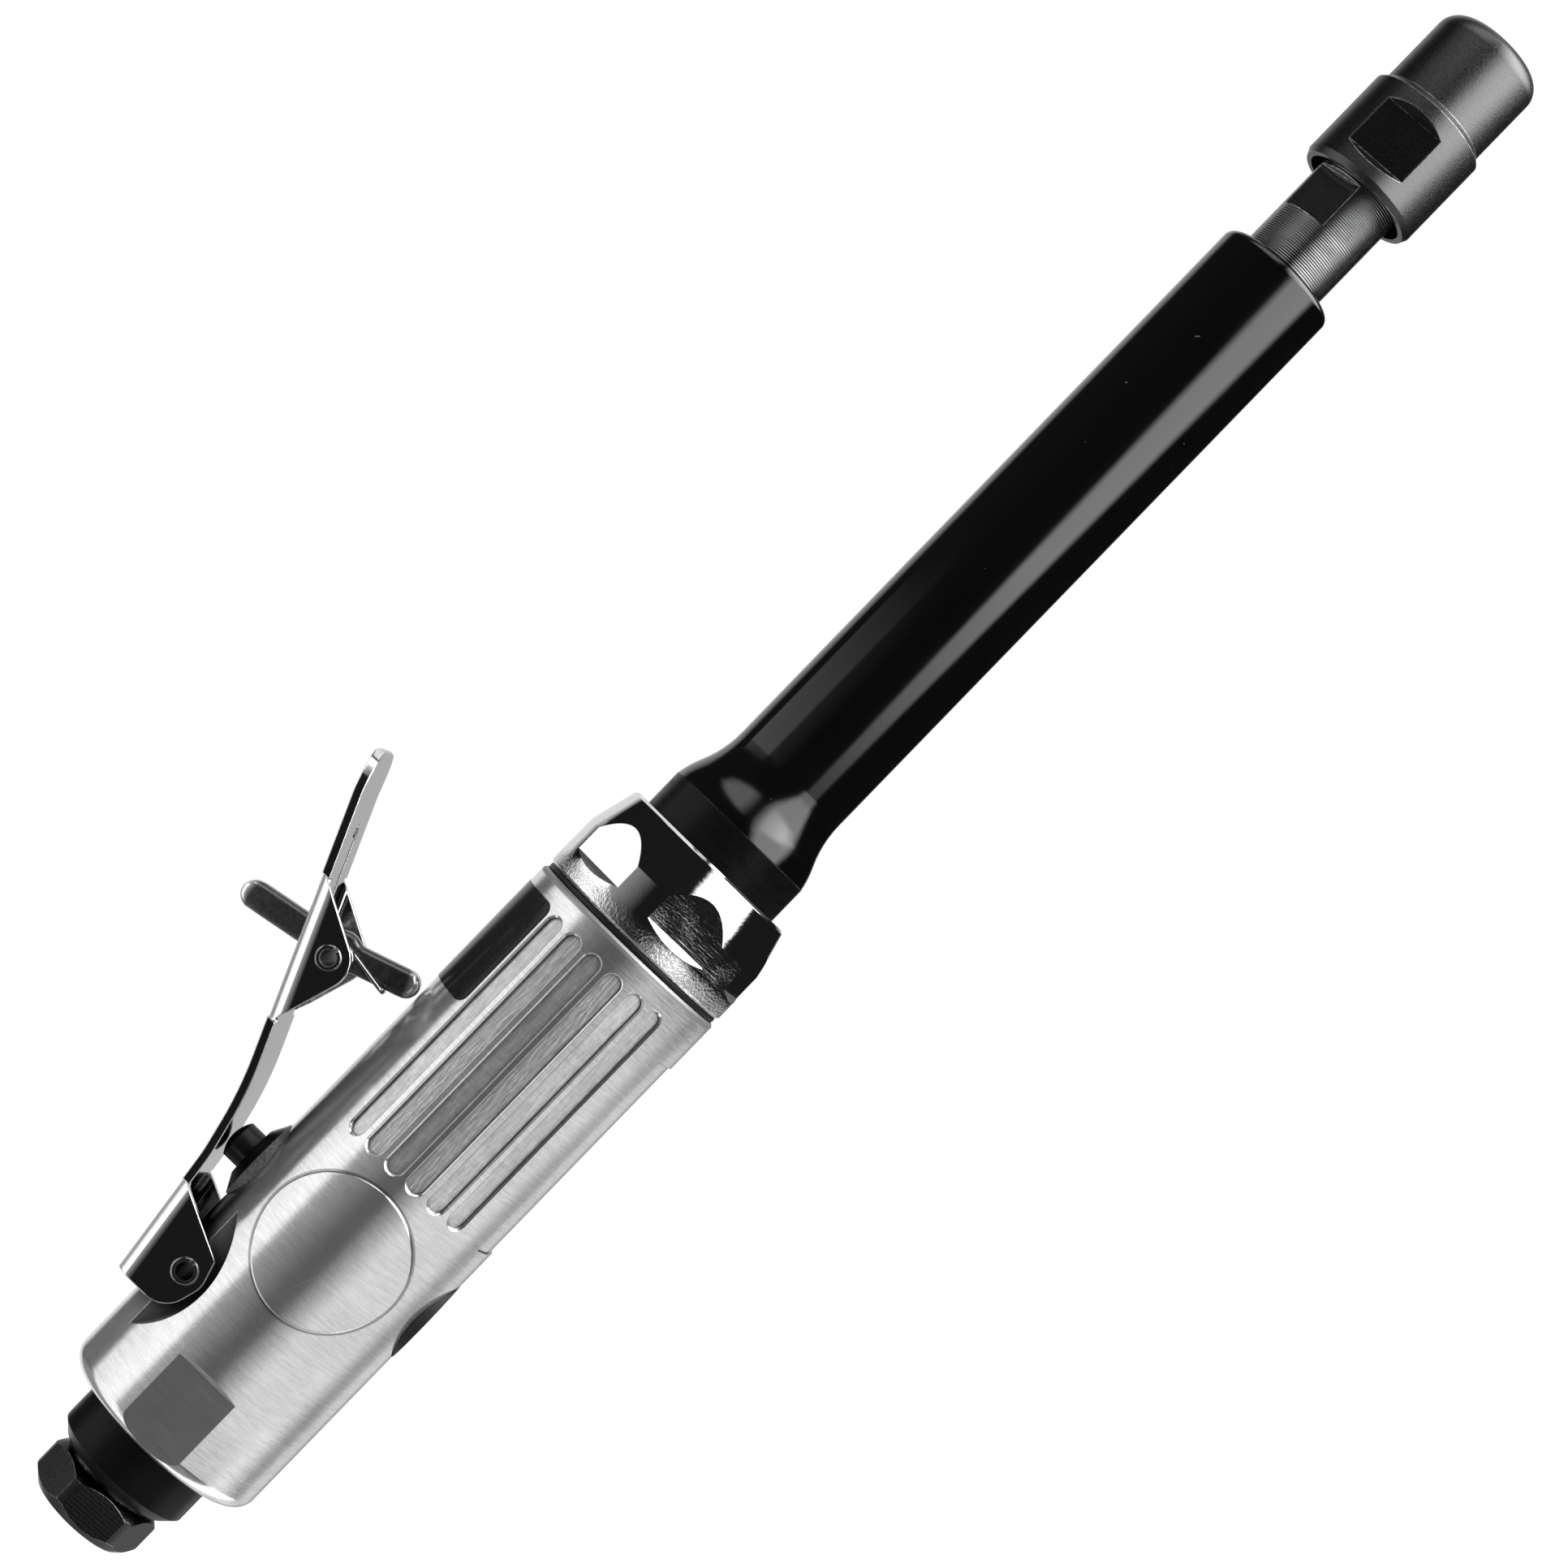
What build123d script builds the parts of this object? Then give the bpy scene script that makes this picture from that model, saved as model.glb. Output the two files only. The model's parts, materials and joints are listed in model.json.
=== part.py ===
from build123d import *
import math
import os

# Long shank air die grinder, in millimetres.
# +X runs along the spindle and out of the collet, +Z points up through the throttle lever.
# The origin is the mouth of the collet, on the tool's axis. Stations count back from there.

# Fits and small breaks
SEAT = 0.03
RUN = 0.05
PLAY = 0.2
EDGE_BREAK = 0.4

# Modelling values: reach of a cutter past a face, nearness of equal places, points along a curve
OVERCUT = 1.0
NEAR = 0.001
SAMPLES = 400
HEX_SIDES = 6

# Collet nut
NUT_NOSE_LENGTH = 13.9
NUT_NOSE_R = 8.95
NUT_NOSE_ROUND = 2.8
NUT_COLLAR_LENGTH = 16.1
NUT_COLLAR_R = 9.95
NUT_COLLAR_CONE = 1.0
NUT_REAR_BEVEL = 1.0
NUT_REAR_STEP = 0.5
NUT_FLATS = 17.0
NUT_FLAT_LENGTH = 8.2
NUT_FLAT_FROM_REAR = 3.8
NUT_FLAT_SLOPE = 0.8
NUT_COUNTERBORE_R = 8.6
NUT_COUNTERBORE_DEPTH = 2.5
NUT_MOUTH_R = 4.0
NUT_MOUTH_DEPTH = 3.8
NUT_TURN = 10.9

# Collet
COLLET_BORE_R = 3.0
COLLET_LENGTH = 24.0
COLLET_BODY_R = 4.2
COLLET_HEAD_R = 5.2
COLLET_HEAD_FRONT = 5.0
COLLET_TAPER_LENGTH = 10.0
COLLET_SLITS = 3
COLLET_SLIT = 0.8
COLLET_SLIT_LENGTH = 17.0

# Spindle
SPINDLE_R = 7.05
SPINDLE_BARE = 16.0
SPINDLE_FLATS = 11.4
SPINDLE_FLAT_LENGTH = 7.9
SPINDLE_FLAT_GAP = 0.1
SPINDLE_TURN = 40.0
THREAD_R = 6.0
THREAD_FRONT = 9.5
SHOULDER_STEP = 0.6

# Grip sleeve and extension housing
SLEEVE_R = 9.95
SLEEVE_LENGTH = 103.3
SLEEVE_WALL = 0.85
SLEEVE_LIP = 1.2
FLARE_LENGTH = 10.8
FLARE_TURN_ALONG = 0.65
FLARE_TURN_OUT = 0.57
RING_STEP = 1.0
RING_BARE = 6.2
NOSE_BORE_GAP = 0.25
NOSE_LENGTH = 4.0
SPIGOT_STEP = 0.4
SPIGOT_LENGTH = 12.3
COUPLING_ROOM_R = 8.8

# Bearings: bore radius, outer radius, width
SPINDLE_BEARING_BORE = 4.0
SPINDLE_BEARING_R = 8.0
REAR_BEARING_BORE = 3.0
REAR_BEARING_R = 6.5
BEARING_WIDTH = 5.0
BALLS = 7
BALL_SHARE = 0.31
LAND_SHARE = 0.2
CLIP_WIDTH = 1.1
CLIP_DEPTH = 0.7
CLIP_BAND = 1.7
SPACER_WALL = 1.0

# Drive coupling
COUPLING_R = 6.4
COUPLING_COLLAR_R = 5.0
COUPLING_COLLAR_LENGTH = 2.0
COUPLING_LENGTH = 24.0
DRIVE_HEX = 6.5
DRIVE_REACH = 10.5
ROTOR_NOSE_LENGTH = 11.5

# Clamp nut and seal ring
CLAMP_LENGTH = 16.05
CLAMP_INSET = 0.15
CLAMP_FLATS = 32.0
CLAMP_FLAT_SLOPE = 1.1
CLAMP_COLLAR = 4.25
CLAMP_CONE = 7.6
CLAMP_CONE_DROP = 2.0
CLAMP_LIP = 4.0
CLAMP_TURN = 16.4
CLAMP_THREAD_STEP = 1.2
CLAMP_THREAD_LENGTH = 7.2
SEAL_WIDTH = 0.95
SEAL_INSET = 0.5
SEAL_ROUND = 0.35

# Motor
PLATE_LENGTH = 8.0
CYLINDER_LENGTH = 37.5
CYLINDER_WALL = 2.2
ECCENTRICITY = 1.2
ROTOR_GAP = 0.3
ROTOR_END_GAP = 0.2
VANES = 5
VANE_THICKNESS = 1.9
VANE_HEIGHT = 5.2
VANE_SLOT_DEPTH = 5.4
DOWEL_R = 1.0
DOWEL_LENGTH = 10.0
FEED_R = 1.7
FEED_Y = 3.4
FEED_Z = 9.8
EXHAUST_PORTS = 4
EXHAUST_PORT_R = 1.6
EXHAUST_CHANNEL_DEPTH = 0.9
EXHAUST_CHANNEL_WIDTH = 8.0
EXHAUST_HOLE_R = 1.5
EXHAUST_HOLE_SPREAD = 14.0

# Motor housing
HOUSING_R = 17.1
HOUSING_WALL = 3.1
HOUSING_REAR_ROUND = 2.6
WEB_TO_VALVE = 7.9
VALVE_TO_REAR = 39.1
PAD_R = 11.6
PAD_RISE = 0.5
PAD_EDGE = 0.3
GROOVES = 6
GROOVE_PITCH = 14.15
GROOVE_WIDTH = 2.9
GROOVE_DEPTH = 0.7
GROOVE_EDGE = 0.3
GROOVE_FROM_FRONT = 3.9
GROOVE_FROM_PAD = 2.6
HOUSING_FLATS = 32.4
HOUSING_FLAT_LENGTH = 13.9
HOUSING_FLAT_SLOPE = 0.8
PANEL_LENGTH = 38.0
PANEL_FROM_FRONT = 8.9
PANEL_HALF_WIDTH = 8.2
PANEL_DEPTH = 0.35

# Throttle valve: its flange and guide count from the housing's top, the rest from the tool's axis
VALVE_BORE_R = 6.0
VALVE_FLANGE_R = 6.85
VALVE_FLANGE_SUNK = 1.6
VALVE_FLANGE_PROUD = 0.2
VALVE_TOP_R = 4.2
VALVE_TOP_PROUD = 1.65
VALVE_SEAT_HEIGHT = 6.5
VALVE_GROOVE_DEPTH = 0.9
STEM_R = 3.1
STEM_NECK_R = 2.0
STEM_GUIDE_LENGTH = 4.35
STEM_GAP = 0.28
STEM_DOME = 1.0
STEM_HEAD_R = 3.6
STEM_HEAD_BOTTOM = 3.4
SEAL_DISC = 1.2
SPRING_R = 2.9
SPRING_WIRE_R = 0.35
SPRING_TURNS = 4

# Regulator
REGULATOR_R = 7.2
REGULATOR_DISC = 3.4
REGULATOR_SHANK_R = 5.3
REGULATOR_CUP_R = 3.9
REGULATOR_FLOOR = -3.6
REGULATOR_RING_SEAT = 4.6
REGULATOR_SLOT_WIDTH = 1.6
REGULATOR_SLOT_DEPTH = 1.2
REGULATOR_CLIP_WIDTH = 1.0
REGULATOR_CLIP_DEPTH = 0.62
REGULATOR_CLIP_GAP = 2.5
WINDOW_R = 3.0
CORD_R = 0.62
CORD_GROOVE = 1.5
CORD_LAND = 2.5

# Inlet and exhaust at the rear
EXHAUST_LENGTH = 8.8
EXHAUST_R = 11.35
EXHAUST_WALL = 0.9
EXHAUST_BACK = 1.5
EXHAUST_CHAMFER = 1.7
EXHAUST_OUTLETS = 10
EXHAUST_OUTLET_R = 0.8
NECK_LENGTH = 1.0
NECK_R = 7.75
HEX_LENGTH = 7.1
HEX_FLATS = 17.6
HEX_CORNER_R = 9.75
HEX_FRONT_FACE_R = 8.45
HEX_REAR_FACE_R = 8.0
HEX_TURN = 41.0
INLET_CORE_R = 6.9
INLET_THREAD_R = 6.5
INLET_THREAD_LENGTH = 14.0
INLET_BORE_R = 3.6
PIPE_R = 5.55
PIPE_DEPTH = 11.0
SCREEN_R = 4.4
SCREEN_THICKNESS = 1.0
SCREEN_HOLE_R = 0.75
SCREEN_HOLES = 6
SCREEN_RIM = 0.45

# Throttle lever: sheet thickness, width, pivot and ears
SHEET = 1.35
RIB_HALF_WIDTH = 10.0
LEVER_BEND_R = 2.6
PIVOT_BEHIND_VALVE = 17.25
PIVOT_BELOW_TOP = 3.8
PIVOT_PIN_R = 1.9
RECESS_R = 15.5
RECESS_ABOVE_PIVOT = 11.25
PIN_WALL = 0.6
PIN_SLIT = 0.6
PIN_PROUD = 0.15
LEVER_TIP_ROUND = 6.5
LEVER_TAIL = 6.4
EAR_CORNER_ROUND = 0.4

# Bends of the lever's sheet, ahead of its pivot and above it
BEND_TAIL = (-9.3, 6.4)
BEND_OVER_RIB = (14.4, 9.55)
BEND_OVER_VALVE = (24.35, 11.85)
BEND_NEAR_TIP = (67.1, 30.25)
BEND_TIP = (72.95, 32.2)
BEND_ROUNDS = (25.0, 60.0, 15.0)

# Rear ears, ahead of the pivot and above it
EAR_HEEL = 1.7
EAR_HEEL_ROUND = 4.5
EAR_LOW = (-0.1, -3.5)
EAR_LOW_ROUND = 4.0
EAR_TOE = (4.0, -2.25)
EAR_END = 9.4

# Front ears, ahead of the lock's pin and above it, with their ends counted ahead of the pivot
LOCK_EAR_START = 34.7
LOCK_EAR_HEEL = (-9.1, -1.4)
LOCK_EAR_HEEL_ROUND = 4.0
LOCK_EAR_LOW = (1.2, -4.6)
LOCK_EAR_LOW_ROUND = 4.5
LOCK_EAR_END = 55.0

# Lock lever
LOCK_AHEAD_OF_PIVOT = 46.75
LOCK_ABOVE_PIVOT = 16.55
LOCK_PIN_R = 1.8
LOCK_THICKNESS = 4.2
LOCK_ELBOW = 0.8
LOCK_LOBE_R = 3.4
LOCK_EDGE_ROUND = 0.7
LOCK_FOOT_LENGTH = 10.9
LOCK_FOOT_LEAN = 18.0
LOCK_FOOT_WIDTH = 4.2
LOCK_TAB_LENGTH = 17.3
LOCK_TAB_LEAN = 10.0
LOCK_TAB_WIDTH = 4.4
LOCK_SLOT_AHEAD = 16.2
LOCK_SLOT_BEHIND = 5.0
LOCK_WIRE_R = 0.3
LOCK_COILS = 3
LOCK_COIL_PITCH = 1.2
LOCK_LEG_LENGTH = 7.6
LOCK_LEG_LEAN = 9.3
LOCK_HOOK_BEND = 0.75
LOCK_WIRE_END = 1.2

# Radii and heights that follow from the housing
MOTOR_R = HOUSING_R - HOUSING_WALL
SPIGOT_R = MOTOR_R - SPIGOT_STEP
RING_R = SPIGOT_R - RING_STEP
CYLINDER_BORE_R = MOTOR_R - CYLINDER_WALL
ROTOR_R = CYLINDER_BORE_R - ECCENTRICITY - ROTOR_GAP
VANE_SLOT_FLOOR_R = ROTOR_R - VANE_SLOT_DEPTH
CLAMP_R = HOUSING_R - CLAMP_INSET
CLAMP_FRONT_R = CLAMP_R - CLAMP_CONE_DROP
CLAMP_THREAD_R = MOTOR_R + CLAMP_THREAD_STEP
SEAL_R = HOUSING_R - SEAL_INSET
VALVE_FLANGE_SEAT = HOUSING_R - VALVE_FLANGE_SUNK
VALVE_FLANGE_RIM = HOUSING_R + VALVE_FLANGE_PROUD
VALVE_TOP = HOUSING_R + VALVE_TOP_PROUD
STEM_GUIDE_BOTTOM = VALVE_TOP - STEM_GUIDE_LENGTH
PIVOT_HEIGHT = HOUSING_R - PIVOT_BELOW_TOP
RECESS_CENTRE_HEIGHT = PIVOT_HEIGHT + RECESS_ABOVE_PIVOT
LOCK_HEIGHT = PIVOT_HEIGHT + LOCK_ABOVE_PIVOT
LEVER_HALF_WIDTH = RIB_HALF_WIDTH + PLAY + SHEET
FAR = 4 * HOUSING_R

# Stations along the axis, from the collet's mouth back
X_COLLAR = -NUT_NOSE_LENGTH
X_NUT_REAR = X_COLLAR - NUT_COLLAR_LENGTH
X_SLEEVE_FRONT = X_NUT_REAR - SPINDLE_BARE
X_FLARE_FRONT = X_SLEEVE_FRONT - SLEEVE_LENGTH
X_SLEEVE_REAR = X_FLARE_FRONT - FLARE_LENGTH
X_CLAMP_FRONT = X_SLEEVE_REAR - RING_BARE
X_CLAMP_REAR = X_CLAMP_FRONT - CLAMP_LENGTH
X_HOUSING_FRONT = X_CLAMP_REAR - SEAL_WIDTH
X_LIP = X_CLAMP_FRONT - CLAMP_LIP
X_PLATE_FRONT = X_LIP - SPIGOT_LENGTH
X_CYLINDER_FRONT = X_PLATE_FRONT - PLATE_LENGTH
X_CYLINDER_REAR = X_CYLINDER_FRONT - CYLINDER_LENGTH
X_WEB = X_CYLINDER_REAR - PLATE_LENGTH
X_VALVE = X_WEB - WEB_TO_VALVE
X_PIVOT = X_VALVE - PIVOT_BEHIND_VALVE
X_LOCK = X_PIVOT + LOCK_AHEAD_OF_PIVOT
X_HOUSING_REAR = X_VALVE - VALVE_TO_REAR
X_EXHAUST_REAR = X_HOUSING_REAR - EXHAUST_LENGTH
X_HEX_FRONT = X_EXHAUST_REAR - NECK_LENGTH
X_REAR = X_HEX_FRONT - HEX_LENGTH
X_EXTENSION_FRONT = X_SLEEVE_FRONT - SLEEVE_LIP
X_FRONT_BEARING = X_EXTENSION_FRONT - NOSE_LENGTH
X_REAR_BEARING = X_FLARE_FRONT - EDGE_BREAK
X_CLIP = X_REAR_BEARING - BEARING_WIDTH
X_COUPLING_ROOM = X_CLIP - CLIP_WIDTH - EDGE_BREAK
X_COUPLING = X_CLIP
X_COUPLING_REAR = X_COUPLING - COUPLING_LENGTH
X_ROTOR_BEARING = X_PLATE_FRONT - RUN
X_TAIL_BEARING = X_WEB + RUN
X_THREAD_REAR = X_NUT_REAR + NUT_COUNTERBORE_DEPTH - PLAY
X_INLET_FRONT = X_HOUSING_REAR + INLET_THREAD_LENGTH
X_PIPE_END = X_REAR + PIPE_DEPTH


def turned(points):
    """Solid of revolution about the tool's axis from (station, radius) corners."""
    return revolve(make_face(Polyline(*points, close=True)), Axis.X)


def tube(x0, x1, outer, inner):
    """Plain ring about the axis between two stations."""
    return turned([(x0, inner), (x0, outer), (x1, outer), (x1, inner)])


def rod(x0, x1, radius, y=0, z=0):
    """Round bar along X between two stations."""
    return Pos((x0 + x1) / 2, y, z) * Rot(0, 90, 0) * Cylinder(radius, abs(x1 - x0))


def post(x, z0, z1, radius):
    """Round bar along Z between two heights."""
    return Pos(x, 0, (z0 + z1) / 2) * Cylinder(radius, z1 - z0)


def crossbar(x, z, half_length, radius):
    """Round bar along Y, centred on the tool's middle plane."""
    return Pos(x, 0, z) * Rot(90, 0, 0) * Cylinder(radius, 2 * half_length)


def block(x0, x1, y0, y1, z0, z1):
    """Box between two corners."""
    middle = ((x0 + x1) / 2, (y0 + y1) / 2, (z0 + z1) / 2)
    return Pos(*middle) * Box(x1 - x0, y1 - y0, z1 - z0)


def hex_bar(x0, x1, flats, turn=0):
    """Hexagon bar along the axis."""
    outline = RegularPolygon(flats / 2, HEX_SIDES, major_radius=False, rotation=turn)
    return extrude(Plane.YZ.offset(x0) * outline, amount=x1 - x0)


def side_plate(outline, half_width):
    """Flat outline in the middle plane, thickened evenly to both sides."""
    return extrude(Plane.XZ * outline, amount=half_width, both=True)


def rims(part, x, radius):
    """Round edges about the axis at one station and radius."""
    return [
        edge
        for edge in part.edges().filter_by(GeomType.CIRCLE)
        if abs(edge.arc_center.X - x) < NEAR and abs(edge.radius - radius) < NEAR
    ]


def flat_cutters(x0, x1, flats, reach, turns, slope):
    """Cutters for wrench flats: a flat floor between two stations and sloped ends."""
    half = flats / 2
    rise = reach - half
    outline = Polyline(
        (x0, half), (x1, half), (x1 + slope * rise, reach), (x0 - slope * rise, reach), close=True
    )
    cutter = extrude(make_face(outline), amount=reach, both=True)
    return [Rot(180 + turn, 0, 0) * cutter for turn in turns]


def biarc(p0, t0, p1, t1):
    """Two tangent arcs from one point and direction to another."""
    v = p1 - p0
    spread = 2 * (1 - t0.dot(t1))
    along = v.dot(t0 + t1)
    reach = (-along + math.sqrt(along * along + 2 * spread * v.dot(v))) / spread
    q0 = p0 + t0 * reach
    q1 = p1 - t1 * reach
    middle = (q0 + q1) * 0.5
    return [TangentArc(p0, middle, tangent=t0), TangentArc(middle, p1, tangent=q1 - q0)]


def coil_frames(radius, pitch, turns, start):
    """Points and directions a quarter turn apart on a coil about +Z."""
    climb = pitch / (2 * math.pi)
    frames = []
    for step in range(round(4 * turns) + 1):
        angle = math.radians(start) + step * math.pi / 2
        point = Vector(radius * math.cos(angle), radius * math.sin(angle), pitch * step / 4)
        way = Vector(-radius * math.sin(angle), radius * math.cos(angle), climb)
        frames.append((point, way.normalized()))
    return frames


def coil_edges(frames):
    """Arcs through the coil's points."""
    edges = []
    for (p0, t0), (p1, t1) in zip(frames, frames[1:]):
        edges += biarc(p0, t0, p1, t1)
    return edges


def wire_solid(edges, wire_radius):
    """Round wire along tangent edges."""
    path = Wire(edges)
    section = Plane(origin=path @ 0, z_dir=path % 0) * Circle(wire_radius)
    return sweep(section, path=path)


def print_gap(name, edges, wire_radius):
    """Prints the least gap between a wire's turns, measured on points along it."""
    path = Wire(edges)
    points = [path @ (i / SAMPLES) for i in range(SAMPLES + 1)]
    apart = math.ceil(8 * wire_radius * SAMPLES / path.length)
    least = min(
        (points[j] - points[i]).length
        for i in range(SAMPLES + 1)
        for j in range(i + apart, SAMPLES + 1)
    )
    print(name, "least gap between turns", round(least - 2 * wire_radius, 2))


def ball_bearing(x_front, bore, outside, prefix):
    """Outer ring, inner ring and balls of one bearing whose front face is at x_front."""
    x_rear = x_front - BEARING_WIDTH
    pitch_r = (bore + outside) / 2
    land = LAND_SHARE * (outside - bore)
    ball_r = BALL_SHARE * (outside - bore)
    x_mid = (x_front + x_rear) / 2
    race = Pos(x_mid, 0, 0) * Rot(0, 90, 0) * Torus(pitch_r, ball_r + RUN)
    ball = Pos(x_mid, 0, pitch_r) * Sphere(ball_r)
    balls = [Rot(360 * i / BALLS, 0, 0) * ball for i in range(BALLS)]
    return {
        prefix + "_outer_ring": tube(x_rear, x_front, outside, pitch_r + land) - race,
        prefix + "_inner_ring": tube(x_rear, x_front, pitch_r - land, bore) - race,
        prefix + "_balls": Compound(children=balls),
    }


def collet_nut():
    """Stepped nut with a rounded nose, two wrench flats and a counterbored rear."""
    mouth_cone = COLLET_HEAD_R - NUT_MOUTH_R
    body = turned([
        (X_NUT_REAR, NUT_COUNTERBORE_R),
        (X_NUT_REAR, NUT_COLLAR_R - NUT_REAR_STEP),
        (X_NUT_REAR + NUT_REAR_BEVEL, NUT_COLLAR_R),
        (X_COLLAR - NUT_COLLAR_CONE, NUT_COLLAR_R),
        (X_COLLAR, NUT_NOSE_R),
        (0, NUT_NOSE_R),
        (0, NUT_MOUTH_R),
        (-NUT_MOUTH_DEPTH, NUT_MOUTH_R),
        (-NUT_MOUTH_DEPTH - mouth_cone - PLAY, COLLET_HEAD_R + PLAY),
        (-THREAD_FRONT, COLLET_HEAD_R + PLAY),
        (-THREAD_FRONT, THREAD_R + RUN),
        (X_NUT_REAR + NUT_COUNTERBORE_DEPTH, THREAD_R + RUN),
        (X_NUT_REAR + NUT_COUNTERBORE_DEPTH, NUT_COUNTERBORE_R),
    ])
    body = fillet(rims(body, 0, NUT_NOSE_R), NUT_NOSE_ROUND)
    x0 = X_NUT_REAR + NUT_FLAT_FROM_REAR
    x1 = x0 + NUT_FLAT_LENGTH
    turns = (-NUT_TURN, 180 - NUT_TURN)
    for cutter in flat_cutters(x0, x1, NUT_FLATS, NUT_COLLAR_R + OVERCUT, turns, NUT_FLAT_SLOPE):
        body -= cutter
    return body


def collet():
    """Slit spring collet with a tapered head."""
    seat_front = COLLET_HEAD_FRONT + NUT_MOUTH_DEPTH
    tip_r = NUT_MOUTH_R - 2 * RUN
    body = turned([
        (-COLLET_LENGTH, COLLET_BORE_R),
        (-COLLET_LENGTH, COLLET_BODY_R),
        (-seat_front - COLLET_TAPER_LENGTH, COLLET_BODY_R),
        (-seat_front, COLLET_HEAD_R),
        (-NUT_MOUTH_DEPTH - (COLLET_HEAD_R - tip_r) - RUN, COLLET_HEAD_R),
        (-NUT_MOUTH_DEPTH - RUN, tip_r),
        (0, tip_r),
        (0, COLLET_BORE_R),
    ])
    half = COLLET_SLIT / 2
    slit = block(-COLLET_SLIT_LENGTH, OVERCUT, -half, half, 0, COLLET_HEAD_R + OVERCUT)
    for i in range(COLLET_SLITS):
        body -= Rot(360 * (i + 0.5) / COLLET_SLITS, 0, 0) * slit
    return body


def spindle():
    """Stepped shaft: threaded nose with collet taper, bare neck with flats, long tail, hexagon end."""
    seat_front = COLLET_HEAD_FRONT + NUT_MOUTH_DEPTH
    tail_r = SPINDLE_BEARING_BORE - SEAT
    pocket = COLLET_LENGTH + PLAY
    taper_rear = seat_front + COLLET_TAPER_LENGTH
    taper = (COLLET_HEAD_R - COLLET_BODY_R) / (taper_rear - seat_front)
    mouth_r = COLLET_HEAD_R - taper * (THREAD_FRONT - seat_front) + RUN
    body = turned([
        (X_CLIP, 0),
        (X_CLIP, tail_r),
        (X_FRONT_BEARING, tail_r),
        (X_FRONT_BEARING, COUPLING_COLLAR_R),
        (X_FRONT_BEARING + SHOULDER_STEP, COUPLING_COLLAR_R),
        (X_FRONT_BEARING + SHOULDER_STEP, SPINDLE_R),
        (X_THREAD_REAR, SPINDLE_R),
        (X_THREAD_REAR, THREAD_R),
        (-THREAD_FRONT, THREAD_R),
        (-THREAD_FRONT, mouth_r),
        (-taper_rear, COLLET_BODY_R + RUN),
        (-pocket, COLLET_BODY_R + RUN),
        (-pocket, 0),
    ])
    body += hex_bar(X_CLIP - DRIVE_REACH, X_CLIP, DRIVE_HEX)
    body = chamfer(rims(body, -THREAD_FRONT, THREAD_R), EDGE_BREAK)
    x1 = X_NUT_REAR - SPINDLE_FLAT_GAP
    x0 = x1 - SPINDLE_FLAT_LENGTH
    turns = (-SPINDLE_TURN, 180 - SPINDLE_TURN)
    for cutter in flat_cutters(x0, x1, SPINDLE_FLATS, SPINDLE_R + OVERCUT, turns, 0):
        body -= cutter
    return body


def flare_edges(inset):
    """Curve from the straight sleeve out to the ring, moved in towards the axis by inset."""
    start = Vector(X_FLARE_FRONT, SLEEVE_R - inset)
    end = Vector(X_SLEEVE_REAR, RING_R - inset)
    along = FLARE_TURN_ALONG * (end.X - start.X)
    middle = Vector(start.X + along, start.Y + FLARE_TURN_OUT * (end.Y - start.Y))
    first = TangentArc(start, middle, tangent=(-1, 0))
    return [first, TangentArc(middle, end, tangent=first % 1)]


def grip_sleeve():
    """Soft tube over the extension housing, flared at its rear and turned in at its front."""
    lip_r = SPINDLE_R + NOSE_BORE_GAP + EDGE_BREAK
    inner_r = SLEEVE_R - SLEEVE_WALL + SEAT
    inset = SLEEVE_WALL - SEAT
    front = [
        (X_FLARE_FRONT, inner_r),
        (X_EXTENSION_FRONT + SEAT, inner_r),
        (X_EXTENSION_FRONT + SEAT, lip_r),
        (X_SLEEVE_FRONT, lip_r),
        (X_SLEEVE_FRONT, SLEEVE_R),
        (X_FLARE_FRONT, SLEEVE_R),
    ]
    rear = Polyline((X_SLEEVE_REAR, RING_R - inset), (X_SLEEVE_REAR, RING_R))
    outline = Polyline(*front) + flare_edges(0) + flare_edges(inset) + rear
    body = revolve(make_face(outline.edges()), Axis.X)
    return fillet(rims(body, X_SLEEVE_FRONT, SLEEVE_R), SLEEVE_LIP)


def extension_housing():
    """Long bearing tube that grows to a ring and a rear spigot, bored for two bearings and the coupling."""
    tube_r = SLEEVE_R - SLEEVE_WALL
    bore_r = SPINDLE_BEARING_R + SEAT
    nose_r = SPINDLE_R + NOSE_BORE_GAP
    groove_r = SPINDLE_BEARING_R + CLIP_DEPTH
    points_in = [
        (X_FLARE_FRONT, tube_r),
        (X_EXTENSION_FRONT, tube_r),
        (X_EXTENSION_FRONT, nose_r),
        (X_FRONT_BEARING, nose_r),
        (X_FRONT_BEARING, bore_r),
        (X_CLIP, bore_r),
        (X_CLIP, groove_r),
        (X_CLIP - CLIP_WIDTH, groove_r),
        (X_CLIP - CLIP_WIDTH, bore_r),
        (X_COUPLING_ROOM, bore_r),
        (X_COUPLING_ROOM, COUPLING_ROOM_R),
        (X_PLATE_FRONT, COUPLING_ROOM_R),
        (X_PLATE_FRONT, SPIGOT_R),
        (X_LIP, SPIGOT_R),
        (X_LIP, RING_R),
        (X_SLEEVE_REAR, RING_R),
        (X_SLEEVE_REAR, RING_R - SLEEVE_WALL),
    ]
    outline = Polyline(*points_in) + flare_edges(SLEEVE_WALL)
    return revolve(make_face(outline.edges()), Axis.X)


def extension_clip():
    """Open retaining ring in the groove behind the rear spindle bearing."""
    outer = SPINDLE_BEARING_R + CLIP_DEPTH - SEAT
    ring = tube(X_CLIP - CLIP_WIDTH + SEAT, X_CLIP - SEAT, outer, outer - CLIP_BAND)
    return ring - block(X_CLIP - 2 * CLIP_WIDTH, X_CLIP + CLIP_WIDTH, -CLIP_BAND, CLIP_BAND, -FAR, 0)


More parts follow.
